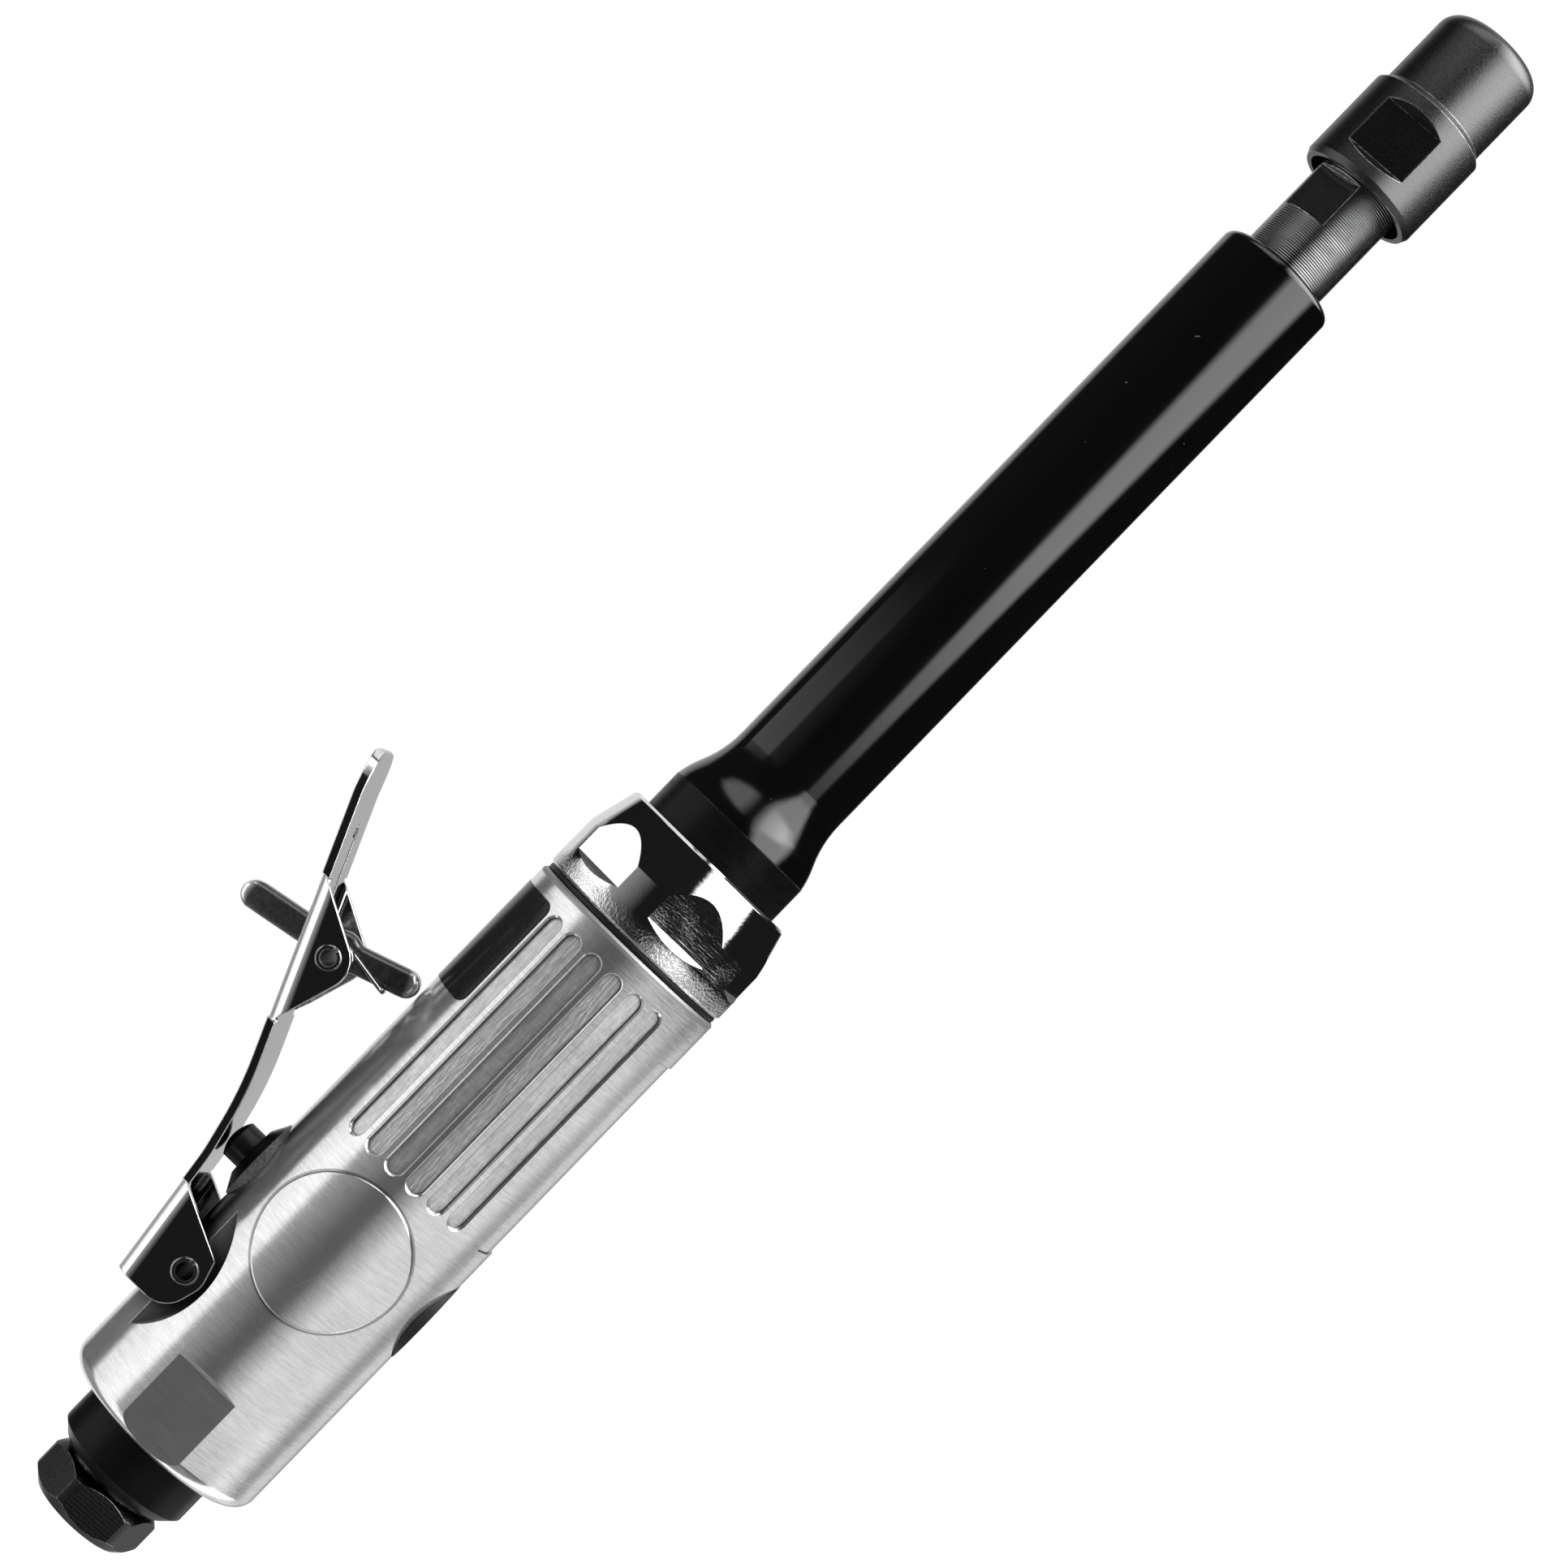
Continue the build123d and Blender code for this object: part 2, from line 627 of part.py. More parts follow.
def drive_coupling():
    """Collared sleeve with a hexagon hole, joining the rotor to the spindle."""
    body = turned([
        (X_COUPLING_REAR, 0),
        (X_COUPLING_REAR, COUPLING_R),
        (X_COUPLING - COUPLING_COLLAR_LENGTH, COUPLING_R),
        (X_COUPLING - COUPLING_COLLAR_LENGTH, COUPLING_COLLAR_R),
        (X_COUPLING, COUPLING_COLLAR_R),
        (X_COUPLING, 0),
    ])
    body = chamfer(rims(body, X_COUPLING_REAR, COUPLING_R), EDGE_BREAK)
    return body - hex_bar(X_COUPLING_REAR - OVERCUT, X_COUPLING + OVERCUT, DRIVE_HEX + 2 * SEAT)


def clamp_nut():
    """Round-collared nut with six flats run out into a front cone, and a threaded shank behind."""
    body = turned([
        (X_CLAMP_REAR - CLAMP_THREAD_LENGTH, SPIGOT_R + RUN),
        (X_CLAMP_REAR - CLAMP_THREAD_LENGTH, CLAMP_THREAD_R),
        (X_CLAMP_REAR, CLAMP_THREAD_R),
        (X_CLAMP_REAR, CLAMP_R),
        (X_CLAMP_FRONT - CLAMP_CONE, CLAMP_R),
        (X_CLAMP_FRONT, CLAMP_FRONT_R),
        (X_CLAMP_FRONT, RING_R + RUN),
        (X_LIP, RING_R + RUN),
        (X_LIP, SPIGOT_R + RUN),
    ])
    edges = rims(body, X_CLAMP_REAR, CLAMP_R) + rims(body, X_CLAMP_FRONT, CLAMP_FRONT_R)
    body = chamfer(edges, EDGE_BREAK)
    x0 = X_CLAMP_REAR + CLAMP_COLLAR
    turns = [CLAMP_TURN + 360 * i / HEX_SIDES for i in range(HEX_SIDES)]
    x1 = X_CLAMP_FRONT + OVERCUT
    for cutter in flat_cutters(x0, x1, CLAMP_FLATS, CLAMP_R + OVERCUT, turns, CLAMP_FLAT_SLOPE):
        body -= cutter
    return body


def seal_ring():
    """Soft ring between the clamp nut's collar and the motor housing."""
    inner = CLAMP_THREAD_R + RUN
    ring = tube(X_HOUSING_FRONT, X_CLAMP_REAR, SEAL_R, inner)
    return fillet(rims(ring, X_HOUSING_FRONT, SEAL_R) + rims(ring, X_CLAMP_REAR, SEAL_R), SEAL_ROUND)


def end_plate(x_front, outside, bearing_r, journal_r, pocket_in_front):
    """Motor end plate with a bearing pocket on its outer face and a hole for the rotor's journal."""
    x_rear = x_front - PLATE_LENGTH
    depth = BEARING_WIDTH + 2 * RUN
    plate = tube(x_rear, x_front, outside, journal_r + PLAY)
    if pocket_in_front:
        return plate - rod(x_front - depth, x_front, bearing_r + SEAT)
    return plate - rod(x_rear, x_rear + depth, bearing_r + SEAT)


def rear_end_plate():
    """Rear plate with the air feed, the exhaust notch and the dowel's hole."""
    plate = end_plate(X_CYLINDER_REAR, MOTOR_R - SEAT, REAR_BEARING_R, REAR_BEARING_BORE, False)
    plate -= rod(X_WEB - OVERCUT, X_CYLINDER_REAR + OVERCUT, FEED_R, FEED_Y, FEED_Z)
    plate -= rod(X_CYLINDER_REAR - DOWEL_LENGTH / 2, X_CYLINDER_REAR, DOWEL_R + SEAT, 0, dowel_height())
    return plate - exhaust_notch(X_WEB - OVERCUT, X_CYLINDER_REAR + OVERCUT)


def dowel_height():
    """Middle of the motor cylinder's thick wall, above the axis."""
    return (CYLINDER_BORE_R - ECCENTRICITY + MOTOR_R) / 2


def exhaust_notch(x0, x1):
    """Flat-bottomed notch along the motor's side that carries the spent air."""
    half = EXHAUST_CHANNEL_WIDTH / 2
    return block(x0, x1, -FAR, EXHAUST_CHANNEL_DEPTH - MOTOR_R, -half, half)


def motor_cylinder():
    """Thick ring with an eccentric bore, exhaust ports and a flat that leads their air back."""
    body = rod(X_CYLINDER_REAR, X_CYLINDER_FRONT, MOTOR_R - SEAT)
    body -= rod(X_CYLINDER_REAR - OVERCUT, X_CYLINDER_FRONT + OVERCUT, CYLINDER_BORE_R, 0, -ECCENTRICITY)
    step = CYLINDER_LENGTH / (EXHAUST_PORTS + 1)
    for i in range(EXHAUST_PORTS):
        x = X_CYLINDER_REAR + (i + 1) * step
        body -= Pos(x, -MOTOR_R, 0) * Rot(90, 0, 0) * Cylinder(EXHAUST_PORT_R, MOTOR_R)
    body -= rod(X_CYLINDER_REAR, X_CYLINDER_REAR + DOWEL_LENGTH / 2, DOWEL_R + SEAT, 0, dowel_height())
    return body - exhaust_notch(X_CYLINDER_REAR - OVERCUT, X_CYLINDER_FRONT - PLATE_LENGTH / 2)


def cylinder_dowel():
    """Pin that keeps the cylinder's ports in line with the rear plate."""
    half = DOWEL_LENGTH / 2 - RUN
    return rod(X_CYLINDER_REAR - half, X_CYLINDER_REAR + half, DOWEL_R, 0, dowel_height())


def rotor():
    """Slotted rotor with a journal at each end and a hexagon nose for the coupling."""
    front = X_CYLINDER_FRONT - ROTOR_END_GAP
    rear = X_CYLINDER_REAR + ROTOR_END_GAP
    nose_r = SPINDLE_BEARING_BORE - SEAT
    tail_r = REAR_BEARING_BORE - SEAT
    body = turned([
        (X_TAIL_BEARING, 0),
        (X_TAIL_BEARING, tail_r),
        (rear, tail_r),
        (rear, ROTOR_R),
        (front, ROTOR_R),
        (front, nose_r),
        (X_PLATE_FRONT, nose_r),
        (X_PLATE_FRONT, 0),
    ])
    body += hex_bar(X_PLATE_FRONT, X_PLATE_FRONT + ROTOR_NOSE_LENGTH, DRIVE_HEX)
    half = VANE_THICKNESS / 2 + RUN
    slot = block(rear - OVERCUT, front + OVERCUT, -half, half, VANE_SLOT_FLOOR_R, ROTOR_R + OVERCUT)
    for i in range(VANES):
        body -= Rot(360 * i / VANES, 0, 0) * slot
    return body


def rotor_vanes():
    """Flat vanes, drawn in flush with the rotor."""
    front = X_CYLINDER_FRONT - ROTOR_END_GAP
    rear = X_CYLINDER_REAR + ROTOR_END_GAP
    half = VANE_THICKNESS / 2
    vane = block(rear, front, -half, half, ROTOR_R - VANE_HEIGHT, ROTOR_R - RUN)
    return Compound(children=[Rot(360 * i / VANES, 0, 0) * vane for i in range(VANES)])


def housing_shell():
    """Outside of the motor housing: barrel, round pads, hand grooves, flats, panel and lever recess."""
    body = rod(X_HOUSING_REAR, X_HOUSING_FRONT, HOUSING_R)
    body = fillet(rims(body, X_HOUSING_REAR, HOUSING_R), HOUSING_REAR_ROUND)
    body = chamfer(rims(body, X_HOUSING_FRONT, HOUSING_R), EDGE_BREAK)
    pads = rod(X_VALVE - PAD_R - OVERCUT, X_VALVE + PAD_R + OVERCUT, HOUSING_R + PAD_RISE)
    pads &= crossbar(X_VALVE, 0, FAR, PAD_R)
    body += fillet(pads.edges(), PAD_EDGE)
    groove_front = X_HOUSING_FRONT - GROOVE_FROM_FRONT
    groove_length = groove_front - (X_VALVE + PAD_R + GROOVE_FROM_PAD)
    outline = Pos(groove_front - groove_length / 2, 0) * SlotOverall(groove_length, GROOVE_WIDTH)
    groove = Pos(0, GROOVE_DEPTH - HOUSING_R, 0) * extrude(Plane.XZ * outline, amount=HOUSING_R)
    groove += Pos(0, GROOVE_EDGE - HOUSING_R, 0) * extrude(Plane.XZ * outline, amount=OVERCUT, taper=-45)
    for side in (0, 180):
        for i in range(GROOVES):
            body -= Rot(side + GROOVE_PITCH * (i - (GROOVES - 1) / 2), 0, 0) * groove
    x0 = X_HOUSING_REAR - OVERCUT
    x1 = X_HOUSING_REAR + HOUSING_FLAT_LENGTH
    for cutter in flat_cutters(x0, x1, HOUSING_FLATS, HOUSING_R + OVERCUT, (0, 180), HOUSING_FLAT_SLOPE):
        body -= cutter
    panel_front = X_HOUSING_FRONT - PANEL_FROM_FRONT
    panel = block(panel_front - PANEL_LENGTH, panel_front, -PANEL_HALF_WIDTH, PANEL_HALF_WIDTH, -FAR, 0)
    body -= panel - rod(X_HOUSING_REAR, X_HOUSING_FRONT, HOUSING_R - PANEL_DEPTH)
    recess = crossbar(X_PIVOT, RECESS_CENTRE_HEIGHT, FAR, RECESS_R)
    return body - (recess - block(X_REAR, 0, -RIB_HALF_WIDTH, RIB_HALF_WIDTH, -FAR, FAR))


def motor_housing():
    """Housing with its bores: motor, valve, regulator, inlet, exhaust, pivot pin and nut thread."""
    body = housing_shell()
    body -= rod(X_WEB, X_HOUSING_FRONT, MOTOR_R + SEAT)
    body -= rod(X_CLAMP_REAR - CLAMP_THREAD_LENGTH - PLAY, X_HOUSING_FRONT, CLAMP_THREAD_R + RUN)
    body -= post(X_VALVE, REGULATOR_RING_SEAT, VALVE_FLANGE_SEAT, VALVE_BORE_R + SEAT)
    body -= post(X_VALVE, VALVE_FLANGE_SEAT, HOUSING_R + OVERCUT, VALVE_FLANGE_R + SEAT)
    body -= post(X_VALVE, -HOUSING_R, REGULATOR_RING_SEAT, REGULATOR_SHANK_R)
    body -= post(X_VALVE, -HOUSING_R - OVERCUT, REGULATOR_DISC - HOUSING_R + PLAY, REGULATOR_R + PLAY)
    body -= rod(X_VALVE, X_WEB, FEED_R, FEED_Y, FEED_Z)
    body -= rod(X_HOUSING_REAR, X_INLET_FRONT + PLAY, INLET_THREAD_R + SEAT)
    body -= rod(X_INLET_FRONT, X_VALVE, INLET_BORE_R)
    body -= crossbar(X_PIVOT, PIVOT_HEIGHT, RIB_HALF_WIDTH, PIVOT_PIN_R + SEAT)
    front = Vector(X_WEB + OVERCUT, EXHAUST_CHANNEL_DEPTH / 2 - MOTOR_R + EXHAUST_HOLE_R / 2, 0)
    rear_r = (INLET_CORE_R + EXHAUST_R - EXHAUST_WALL) / 2
    rear = Vector(X_HOUSING_REAR - OVERCUT, -rear_r, 0)
    hole = Solid.make_cylinder(EXHAUST_HOLE_R, (rear - front).length, Plane(front, z_dir=rear - front))
    for turn in (-EXHAUST_HOLE_SPREAD, EXHAUST_HOLE_SPREAD):
        body -= Rot(turn, 0, 0) * hole
    return body


def exhaust_sleeve():
    """Chamfered cup round the inlet bushing, with a ring of outlets in its back."""
    core_r = INLET_CORE_R + SEAT
    body = turned([
        (X_EXHAUST_REAR, core_r),
        (X_EXHAUST_REAR, EXHAUST_R - EXHAUST_CHAMFER),
        (X_EXHAUST_REAR + EXHAUST_CHAMFER, EXHAUST_R),
        (X_HOUSING_REAR, EXHAUST_R),
        (X_HOUSING_REAR, EXHAUST_R - EXHAUST_WALL),
        (X_EXHAUST_REAR + EXHAUST_BACK, EXHAUST_R - EXHAUST_WALL),
        (X_EXHAUST_REAR + EXHAUST_BACK, core_r),
    ])
    outlet_r = (NECK_R + EXHAUST_R - EXHAUST_CHAMFER) / 2
    outlet_end = X_EXHAUST_REAR + EXHAUST_BACK + OVERCUT
    outlet = rod(X_EXHAUST_REAR - OVERCUT, outlet_end, EXHAUST_OUTLET_R, 0, outlet_r)
    for i in range(EXHAUST_OUTLETS):
        body -= Rot(360 * i / EXHAUST_OUTLETS, 0, 0) * outlet
    return body


def exhaust_silencer():
    """Felt ring that fills the exhaust sleeve."""
    x_rear = X_EXHAUST_REAR + EXHAUST_BACK + SEAT
    return tube(x_rear, X_HOUSING_REAR - EXHAUST_BACK, EXHAUST_R - EXHAUST_WALL - SEAT, INLET_CORE_R + SEAT)


def o_ring(radius, cord):
    """Round-section ring about +Z."""
    return Torus(radius, cord)


def inlet_bushing():
    """Hexagon air inlet with a pipe hole, a neck, a plain core and a threaded shank."""
    hexagon = hex_bar(X_REAR, X_HEX_FRONT, HEX_FLATS, HEX_TURN)
    shape = turned([
        (X_REAR, 0),
        (X_REAR, HEX_REAR_FACE_R),
        (X_REAR + HEX_CORNER_R - HEX_REAR_FACE_R, HEX_CORNER_R),
        (X_HEX_FRONT - HEX_CORNER_R + HEX_FRONT_FACE_R, HEX_CORNER_R),
        (X_HEX_FRONT, HEX_FRONT_FACE_R),
        (X_HEX_FRONT, 0),
    ])
    body = hexagon & shape
    groove_r = INLET_THREAD_R - 2 * CORD_R
    groove_rear = X_INLET_FRONT - CORD_LAND
    groove_front = groove_rear + CORD_GROOVE
    body += turned([
        (X_HEX_FRONT, 0),
        (X_HEX_FRONT, NECK_R),
        (X_EXHAUST_REAR, NECK_R),
        (X_EXHAUST_REAR, INLET_CORE_R),
        (X_HOUSING_REAR, INLET_CORE_R),
        (X_HOUSING_REAR, INLET_THREAD_R),
        (groove_rear, INLET_THREAD_R),
        (groove_rear, groove_r),
        (groove_front, groove_r),
        (groove_front, INLET_THREAD_R),
        (X_INLET_FRONT, INLET_THREAD_R),
        (X_INLET_FRONT, 0),
    ])
    body -= rod(X_REAR - OVERCUT, X_PIPE_END, PIPE_R)
    body -= rod(X_PIPE_END - OVERCUT, X_PIPE_END + SCREEN_THICKNESS, SCREEN_R + SEAT)
    return body - rod(X_PIPE_END, X_INLET_FRONT + OVERCUT, INLET_BORE_R)


def inlet_o_ring():
    """Seal in the groove of the inlet bushing's shank."""
    x = X_INLET_FRONT - CORD_LAND + CORD_GROOVE / 2
    return Pos(x, 0, 0) * Rot(0, 90, 0) * o_ring(INLET_THREAD_R - CORD_R - SEAT, CORD_R - SEAT)


def inlet_screen():
    """Perforated disc that stops dirt behind the pipe hole."""
    disc = rod(X_PIPE_END, X_PIPE_END + SCREEN_THICKNESS, SCREEN_R)
    hole_z = INLET_BORE_R - SCREEN_HOLE_R - SCREEN_RIM
    hole = rod(X_PIPE_END - OVERCUT, X_PIPE_END + SCREEN_THICKNESS + OVERCUT, SCREEN_HOLE_R, 0, hole_z)
    disc -= rod(X_PIPE_END - OVERCUT, X_PIPE_END + SCREEN_THICKNESS + OVERCUT, SCREEN_HOLE_R)
    for i in range(SCREEN_HOLES):
        disc -= Rot(360 * i / SCREEN_HOLES, 0, 0) * hole
    return disc


def upright(points):
    """Solid of revolution about the valve's own upright axis from (radius, height) corners."""
    return Pos(X_VALVE, 0, 0) * revolve(Plane.XZ * make_face(Polyline(*points, close=True)), Axis.Z)


def valve_bushing():
    """Flanged guide and seat for the valve stem, with a feed groove and its ports."""
    groove_low = FEED_Z - FEED_R
    groove_high = FEED_Z + FEED_R
    groove_r = VALVE_BORE_R - VALVE_GROOVE_DEPTH
    body = upright([
        (STEM_R + RUN, VALVE_SEAT_HEIGHT),
        (VALVE_BORE_R, VALVE_SEAT_HEIGHT),
        (VALVE_BORE_R, groove_low),
        (groove_r, groove_low),
        (groove_r, groove_high),
        (VALVE_BORE_R, groove_high),
        (VALVE_BORE_R, VALVE_FLANGE_SEAT),
        (VALVE_FLANGE_R, VALVE_FLANGE_SEAT),
        (VALVE_FLANGE_R, VALVE_FLANGE_RIM),
        (VALVE_TOP_R, VALVE_TOP),
        (STEM_R + RUN, VALVE_TOP),
    ])
    return body - Pos(X_VALVE, 0, FEED_Z) * Rot(0, 90, 0) * Cylinder(FEED_R - 2 * RUN, 2 * VALVE_BORE_R)


def sheet_line():
    """Middle line of the lever's sheet, from behind its rear end over the valve to its tip."""
    bends = (BEND_TAIL, BEND_OVER_RIB, BEND_OVER_VALVE, BEND_NEAR_TIP, BEND_TIP)
    points = [(X_PIVOT + ahead, PIVOT_HEIGHT + above) for ahead, above in bends]
    return FilletPolyline(*points, radius=list(BEND_ROUNDS))


def stem_top():
    """Height of the stem's dome: just under the lever's sheet."""
    line = sheet_line()
    points = [line @ (i / SAMPLES) for i in range(SAMPLES + 1)]
    nearest = min(points, key=lambda point: abs(point.X - X_VALVE))
    return nearest.Y - SHEET / 2 - STEM_GAP


def valve_stem():
    """Domed push stem with a thin neck and a flat head below the seat."""
    top = stem_top()
    head_top = VALVE_SEAT_HEIGHT - SEAL_DISC - RUN
    outline = Polyline(
        (0, STEM_HEAD_BOTTOM),
        (STEM_HEAD_R, STEM_HEAD_BOTTOM),
        (STEM_HEAD_R, head_top),
        (STEM_NECK_R, head_top),
        (STEM_NECK_R, STEM_GUIDE_BOTTOM),
        (STEM_R, STEM_GUIDE_BOTTOM),
        (STEM_R, top - STEM_DOME),
    )
    dome = TangentArc((0, top), (STEM_R, top - STEM_DOME), tangent=(1, 0))
    axis = Line((0, top), (0, STEM_HEAD_BOTTOM))
    face = make_face((outline + dome + axis).edges())
    return Pos(X_VALVE, 0, 0) * revolve(Plane.XZ * face, Axis.Z)


def valve_seal():
    """Rubber washer on the stem's head that closes the seat."""
    bottom = VALVE_SEAT_HEIGHT - SEAL_DISC - RUN
    top = VALVE_SEAT_HEIGHT - RUN
    return upright([
        (STEM_NECK_R + SEAT, bottom),
        (STEM_HEAD_R, bottom),
        (STEM_HEAD_R, top),
        (STEM_NECK_R + SEAT, top),
    ])


def valve_spring():
    """Coil spring between the regulator's floor and the stem's head."""
    low = REGULATOR_FLOOR + SPRING_WIRE_R + RUN
    high = STEM_HEAD_BOTTOM - SPRING_WIRE_R - RUN
    edges = coil_edges(coil_frames(SPRING_R, (high - low) / SPRING_TURNS, SPRING_TURNS, 0))
    print_gap("valve_spring", edges, SPRING_WIRE_R)
    return Pos(X_VALVE, 0, low) * wire_solid(edges, SPRING_WIRE_R)


def regulator_knob():
    """Screwdriver-slotted disc with a cup-shaped shank whose window meters the air."""
    disc_top = REGULATOR_DISC - HOUSING_R
    shank_r = REGULATOR_SHANK_R - RUN
    cup_top = VALVE_SEAT_HEIGHT - 2 * PLAY
    clip_low = REGULATOR_RING_SEAT + RUN
    clip_high = clip_low + REGULATOR_CLIP_WIDTH
    clip_r = shank_r - REGULATOR_CLIP_DEPTH
    cord_high = REGULATOR_FLOOR - CORD_LAND
    cord_low = cord_high - CORD_GROOVE
    cord_r = shank_r - 2 * CORD_R
    body = upright([
        (0, -HOUSING_R),
        (REGULATOR_R, -HOUSING_R),
        (REGULATOR_R, disc_top),
        (shank_r, disc_top),
        (shank_r, cord_low),
        (cord_r, cord_low),
        (cord_r, cord_high),
        (shank_r, cord_high),
        (shank_r, clip_low),
        (clip_r, clip_low),
        (clip_r, clip_high),
        (shank_r, clip_high),
        (shank_r, cup_top),
        (REGULATOR_CUP_R, cup_top),
        (REGULATOR_CUP_R, REGULATOR_FLOOR),
        (0, REGULATOR_FLOOR),
    ])
    body -= Pos(X_VALVE - HOUSING_R / 2, 0, 0) * Rot(0, 90, 0) * Cylinder(WINDOW_R, HOUSING_R)
    half = REGULATOR_SLOT_WIDTH / 2
    return body - block(
        X_VALVE - FAR, X_VALVE + FAR, -half, half, -HOUSING_R - OVERCUT, REGULATOR_SLOT_DEPTH - HOUSING_R
    )


def regulator_clip():
    """Open ring on the regulator's shank that keeps it in its bore."""
    low = REGULATOR_RING_SEAT + 2 * RUN
    high = low + REGULATOR_CLIP_WIDTH - 2 * RUN
    inner = REGULATOR_SHANK_R - REGULATOR_CLIP_DEPTH
    ring = upright([(inner, low), (VALVE_BORE_R - RUN, low), (VALVE_BORE_R - RUN, high), (inner, high)])
    half = REGULATOR_CLIP_GAP / 2
    return ring - block(X_VALVE, X_VALVE + FAR, -half, half, low - OVERCUT, high + OVERCUT)


def regulator_o_ring():
    """Seal in the regulator's groove."""
    height = REGULATOR_FLOOR - CORD_LAND - CORD_GROOVE / 2
    return Pos(X_VALVE, 0, height) * o_ring(REGULATOR_SHANK_R - RUN - CORD_R - SEAT, CORD_R - SEAT)


def rolled_pin(x, z, half_length, radius):
    """Spring pin: a rolled tube with a slit along it."""
    pin = crossbar(x, z, half_length, radius) - crossbar(x, z, half_length + OVERCUT, radius - PIN_WALL)
    return pin - block(x, x + radius + OVERCUT, -FAR, FAR, z - PIN_SLIT / 2, z + PIN_SLIT / 2)


def channel(span, outline):
    """Bent sheet channel, open below, along a straight stretch of the lever and cut to a side outline."""
    start = span @ 0
    end = span @ 1
    along = Vector(end.X - start.X, 0, end.Y - start.Y)
    plane = Plane(origin=(start.X, 0, start.Y), x_dir=(0, 1, 0), z_dir=along)
    depth = LOCK_HEIGHT
    outer = Pos(0, (SHEET - depth) / 2) * Rectangle(2 * LEVER_HALF_WIDTH, depth)
    inner = Pos(0, -(SHEET + depth) / 2) * Rectangle(2 * (LEVER_HALF_WIDTH - SHEET), depth)
    outer = fillet(outer.vertices().group_by(Axis.Y)[-1], LEVER_BEND_R)
    inner = fillet(inner.vertices().group_by(Axis.Y)[-1], LEVER_BEND_R - SHEET)
    closed = outline + Line(outline @ 1, outline @ 0)
    shape = side_plate(make_face(closed.edges()), LEVER_HALF_WIDTH + OVERCUT)
    return extrude(plane * (outer - inner), amount=along.length) & shape


def lever_strip(line):
    """Plain bent strip of the lever with its tip's corners rounded and its rear end squared."""
    wide = LEVER_HALF_WIDTH
    strip = side_plate(make_face(offset(line, SHEET / 2).edges()), wide)
    tip_x = strip.bounding_box().max.X
    middle_x = tip_x - LEVER_TIP_ROUND
    middle_y = wide - LEVER_TIP_ROUND
    corner = block(middle_x, tip_x + OVERCUT, middle_y, wide + OVERCUT, 0, FAR)
    corner -= Pos(middle_x, middle_y, 0) * Cylinder(LEVER_TIP_ROUND, 2 * FAR)
    strip -= corner
    strip -= mirror(corner, Plane.XZ)
    return strip - block(X_PIVOT - FAR, X_PIVOT - LEVER_TAIL, -FAR, FAR, 0, FAR)


def at_station(span, x):
    """Point of a straight stretch of the lever at one station."""
    start = span @ 0
    end = span @ 1
    point = span @ ((x - start.X) / (end.X - start.X))
    return (point.X, point.Y)


def around(x, z, offset):
    """Point of the middle plane counted from a pin."""
    return (x + offset[0], z + offset[1])


def throttle_lever():
    """Bent sheet lever: a long strip and two channels whose ears carry the pins."""
    line = sheet_line()
    wide = LEVER_HALF_WIDTH
    straights = line.edges().filter_by(GeomType.LINE)
    rear = straights[0]
    middle = straights[2]
    above = FAR
    rear_end = at_station(rear, X_PIVOT + EAR_END)
    rear_outline = FilletPolyline(
        (X_PIVOT - LEVER_TAIL, above),
        (X_PIVOT - LEVER_TAIL, PIVOT_HEIGHT - EAR_HEEL),
        around(X_PIVOT, PIVOT_HEIGHT, EAR_LOW),
        around(X_PIVOT, PIVOT_HEIGHT, EAR_TOE),
        rear_end,
        (rear_end[0], above),
        radius=[EAR_HEEL_ROUND, EAR_LOW_ROUND, EAR_CORNER_ROUND, EAR_CORNER_ROUND],
    )
    middle_start = at_station(middle, X_PIVOT + LOCK_EAR_START)
    middle_end = at_station(middle, X_PIVOT + LOCK_EAR_END)
    middle_outline = FilletPolyline(
        (middle_start[0], above),
        middle_start,
        around(X_LOCK, LOCK_HEIGHT, LOCK_EAR_HEEL),
        around(X_LOCK, LOCK_HEIGHT, LOCK_EAR_LOW),
        middle_end,
        (middle_end[0], above),
        radius=[EAR_CORNER_ROUND, LOCK_EAR_HEEL_ROUND, LOCK_EAR_LOW_ROUND, EAR_CORNER_ROUND],
    )
    body = lever_strip(line)
    for span, outline in ((rear, rear_outline), (middle, middle_outline)):
        ears = channel(span, outline)
        x0 = (outline @ 0).X
        x1 = (outline @ 1).X
        for side in (-1, 1):
            y0 = side * wide - LEVER_BEND_R
            body -= block(x0, x1, y0, y0 + 2 * LEVER_BEND_R, 0, FAR)
        body += ears
    body -= crossbar(X_PIVOT, PIVOT_HEIGHT, wide + OVERCUT, PIVOT_PIN_R + RUN)
    body -= crossbar(X_LOCK, LOCK_HEIGHT, wide + OVERCUT, LOCK_PIN_R + SEAT)
    slot_length = LOCK_SLOT_AHEAD + LOCK_SLOT_BEHIND
    slot_middle = X_LOCK + (LOCK_SLOT_AHEAD - LOCK_SLOT_BEHIND) / 2
    slot = Pos(slot_middle, 0, LOCK_HEIGHT) * SlotOverall(slot_length, LOCK_THICKNESS + 4 * PLAY)
    return body - extrude(slot, amount=FAR)


def lock_bar(length, width, turn):
    """Outline of a round-ended bar from the lock's elbow, turned from upright."""
    reach = length - width / 2
    bar = Pos(0, reach / 2) * Rectangle(width, reach) + Pos(0, reach) * Circle(width / 2)
    return Pos(LOCK_ELBOW, 0) * Rot(0, 0, turn) * bar


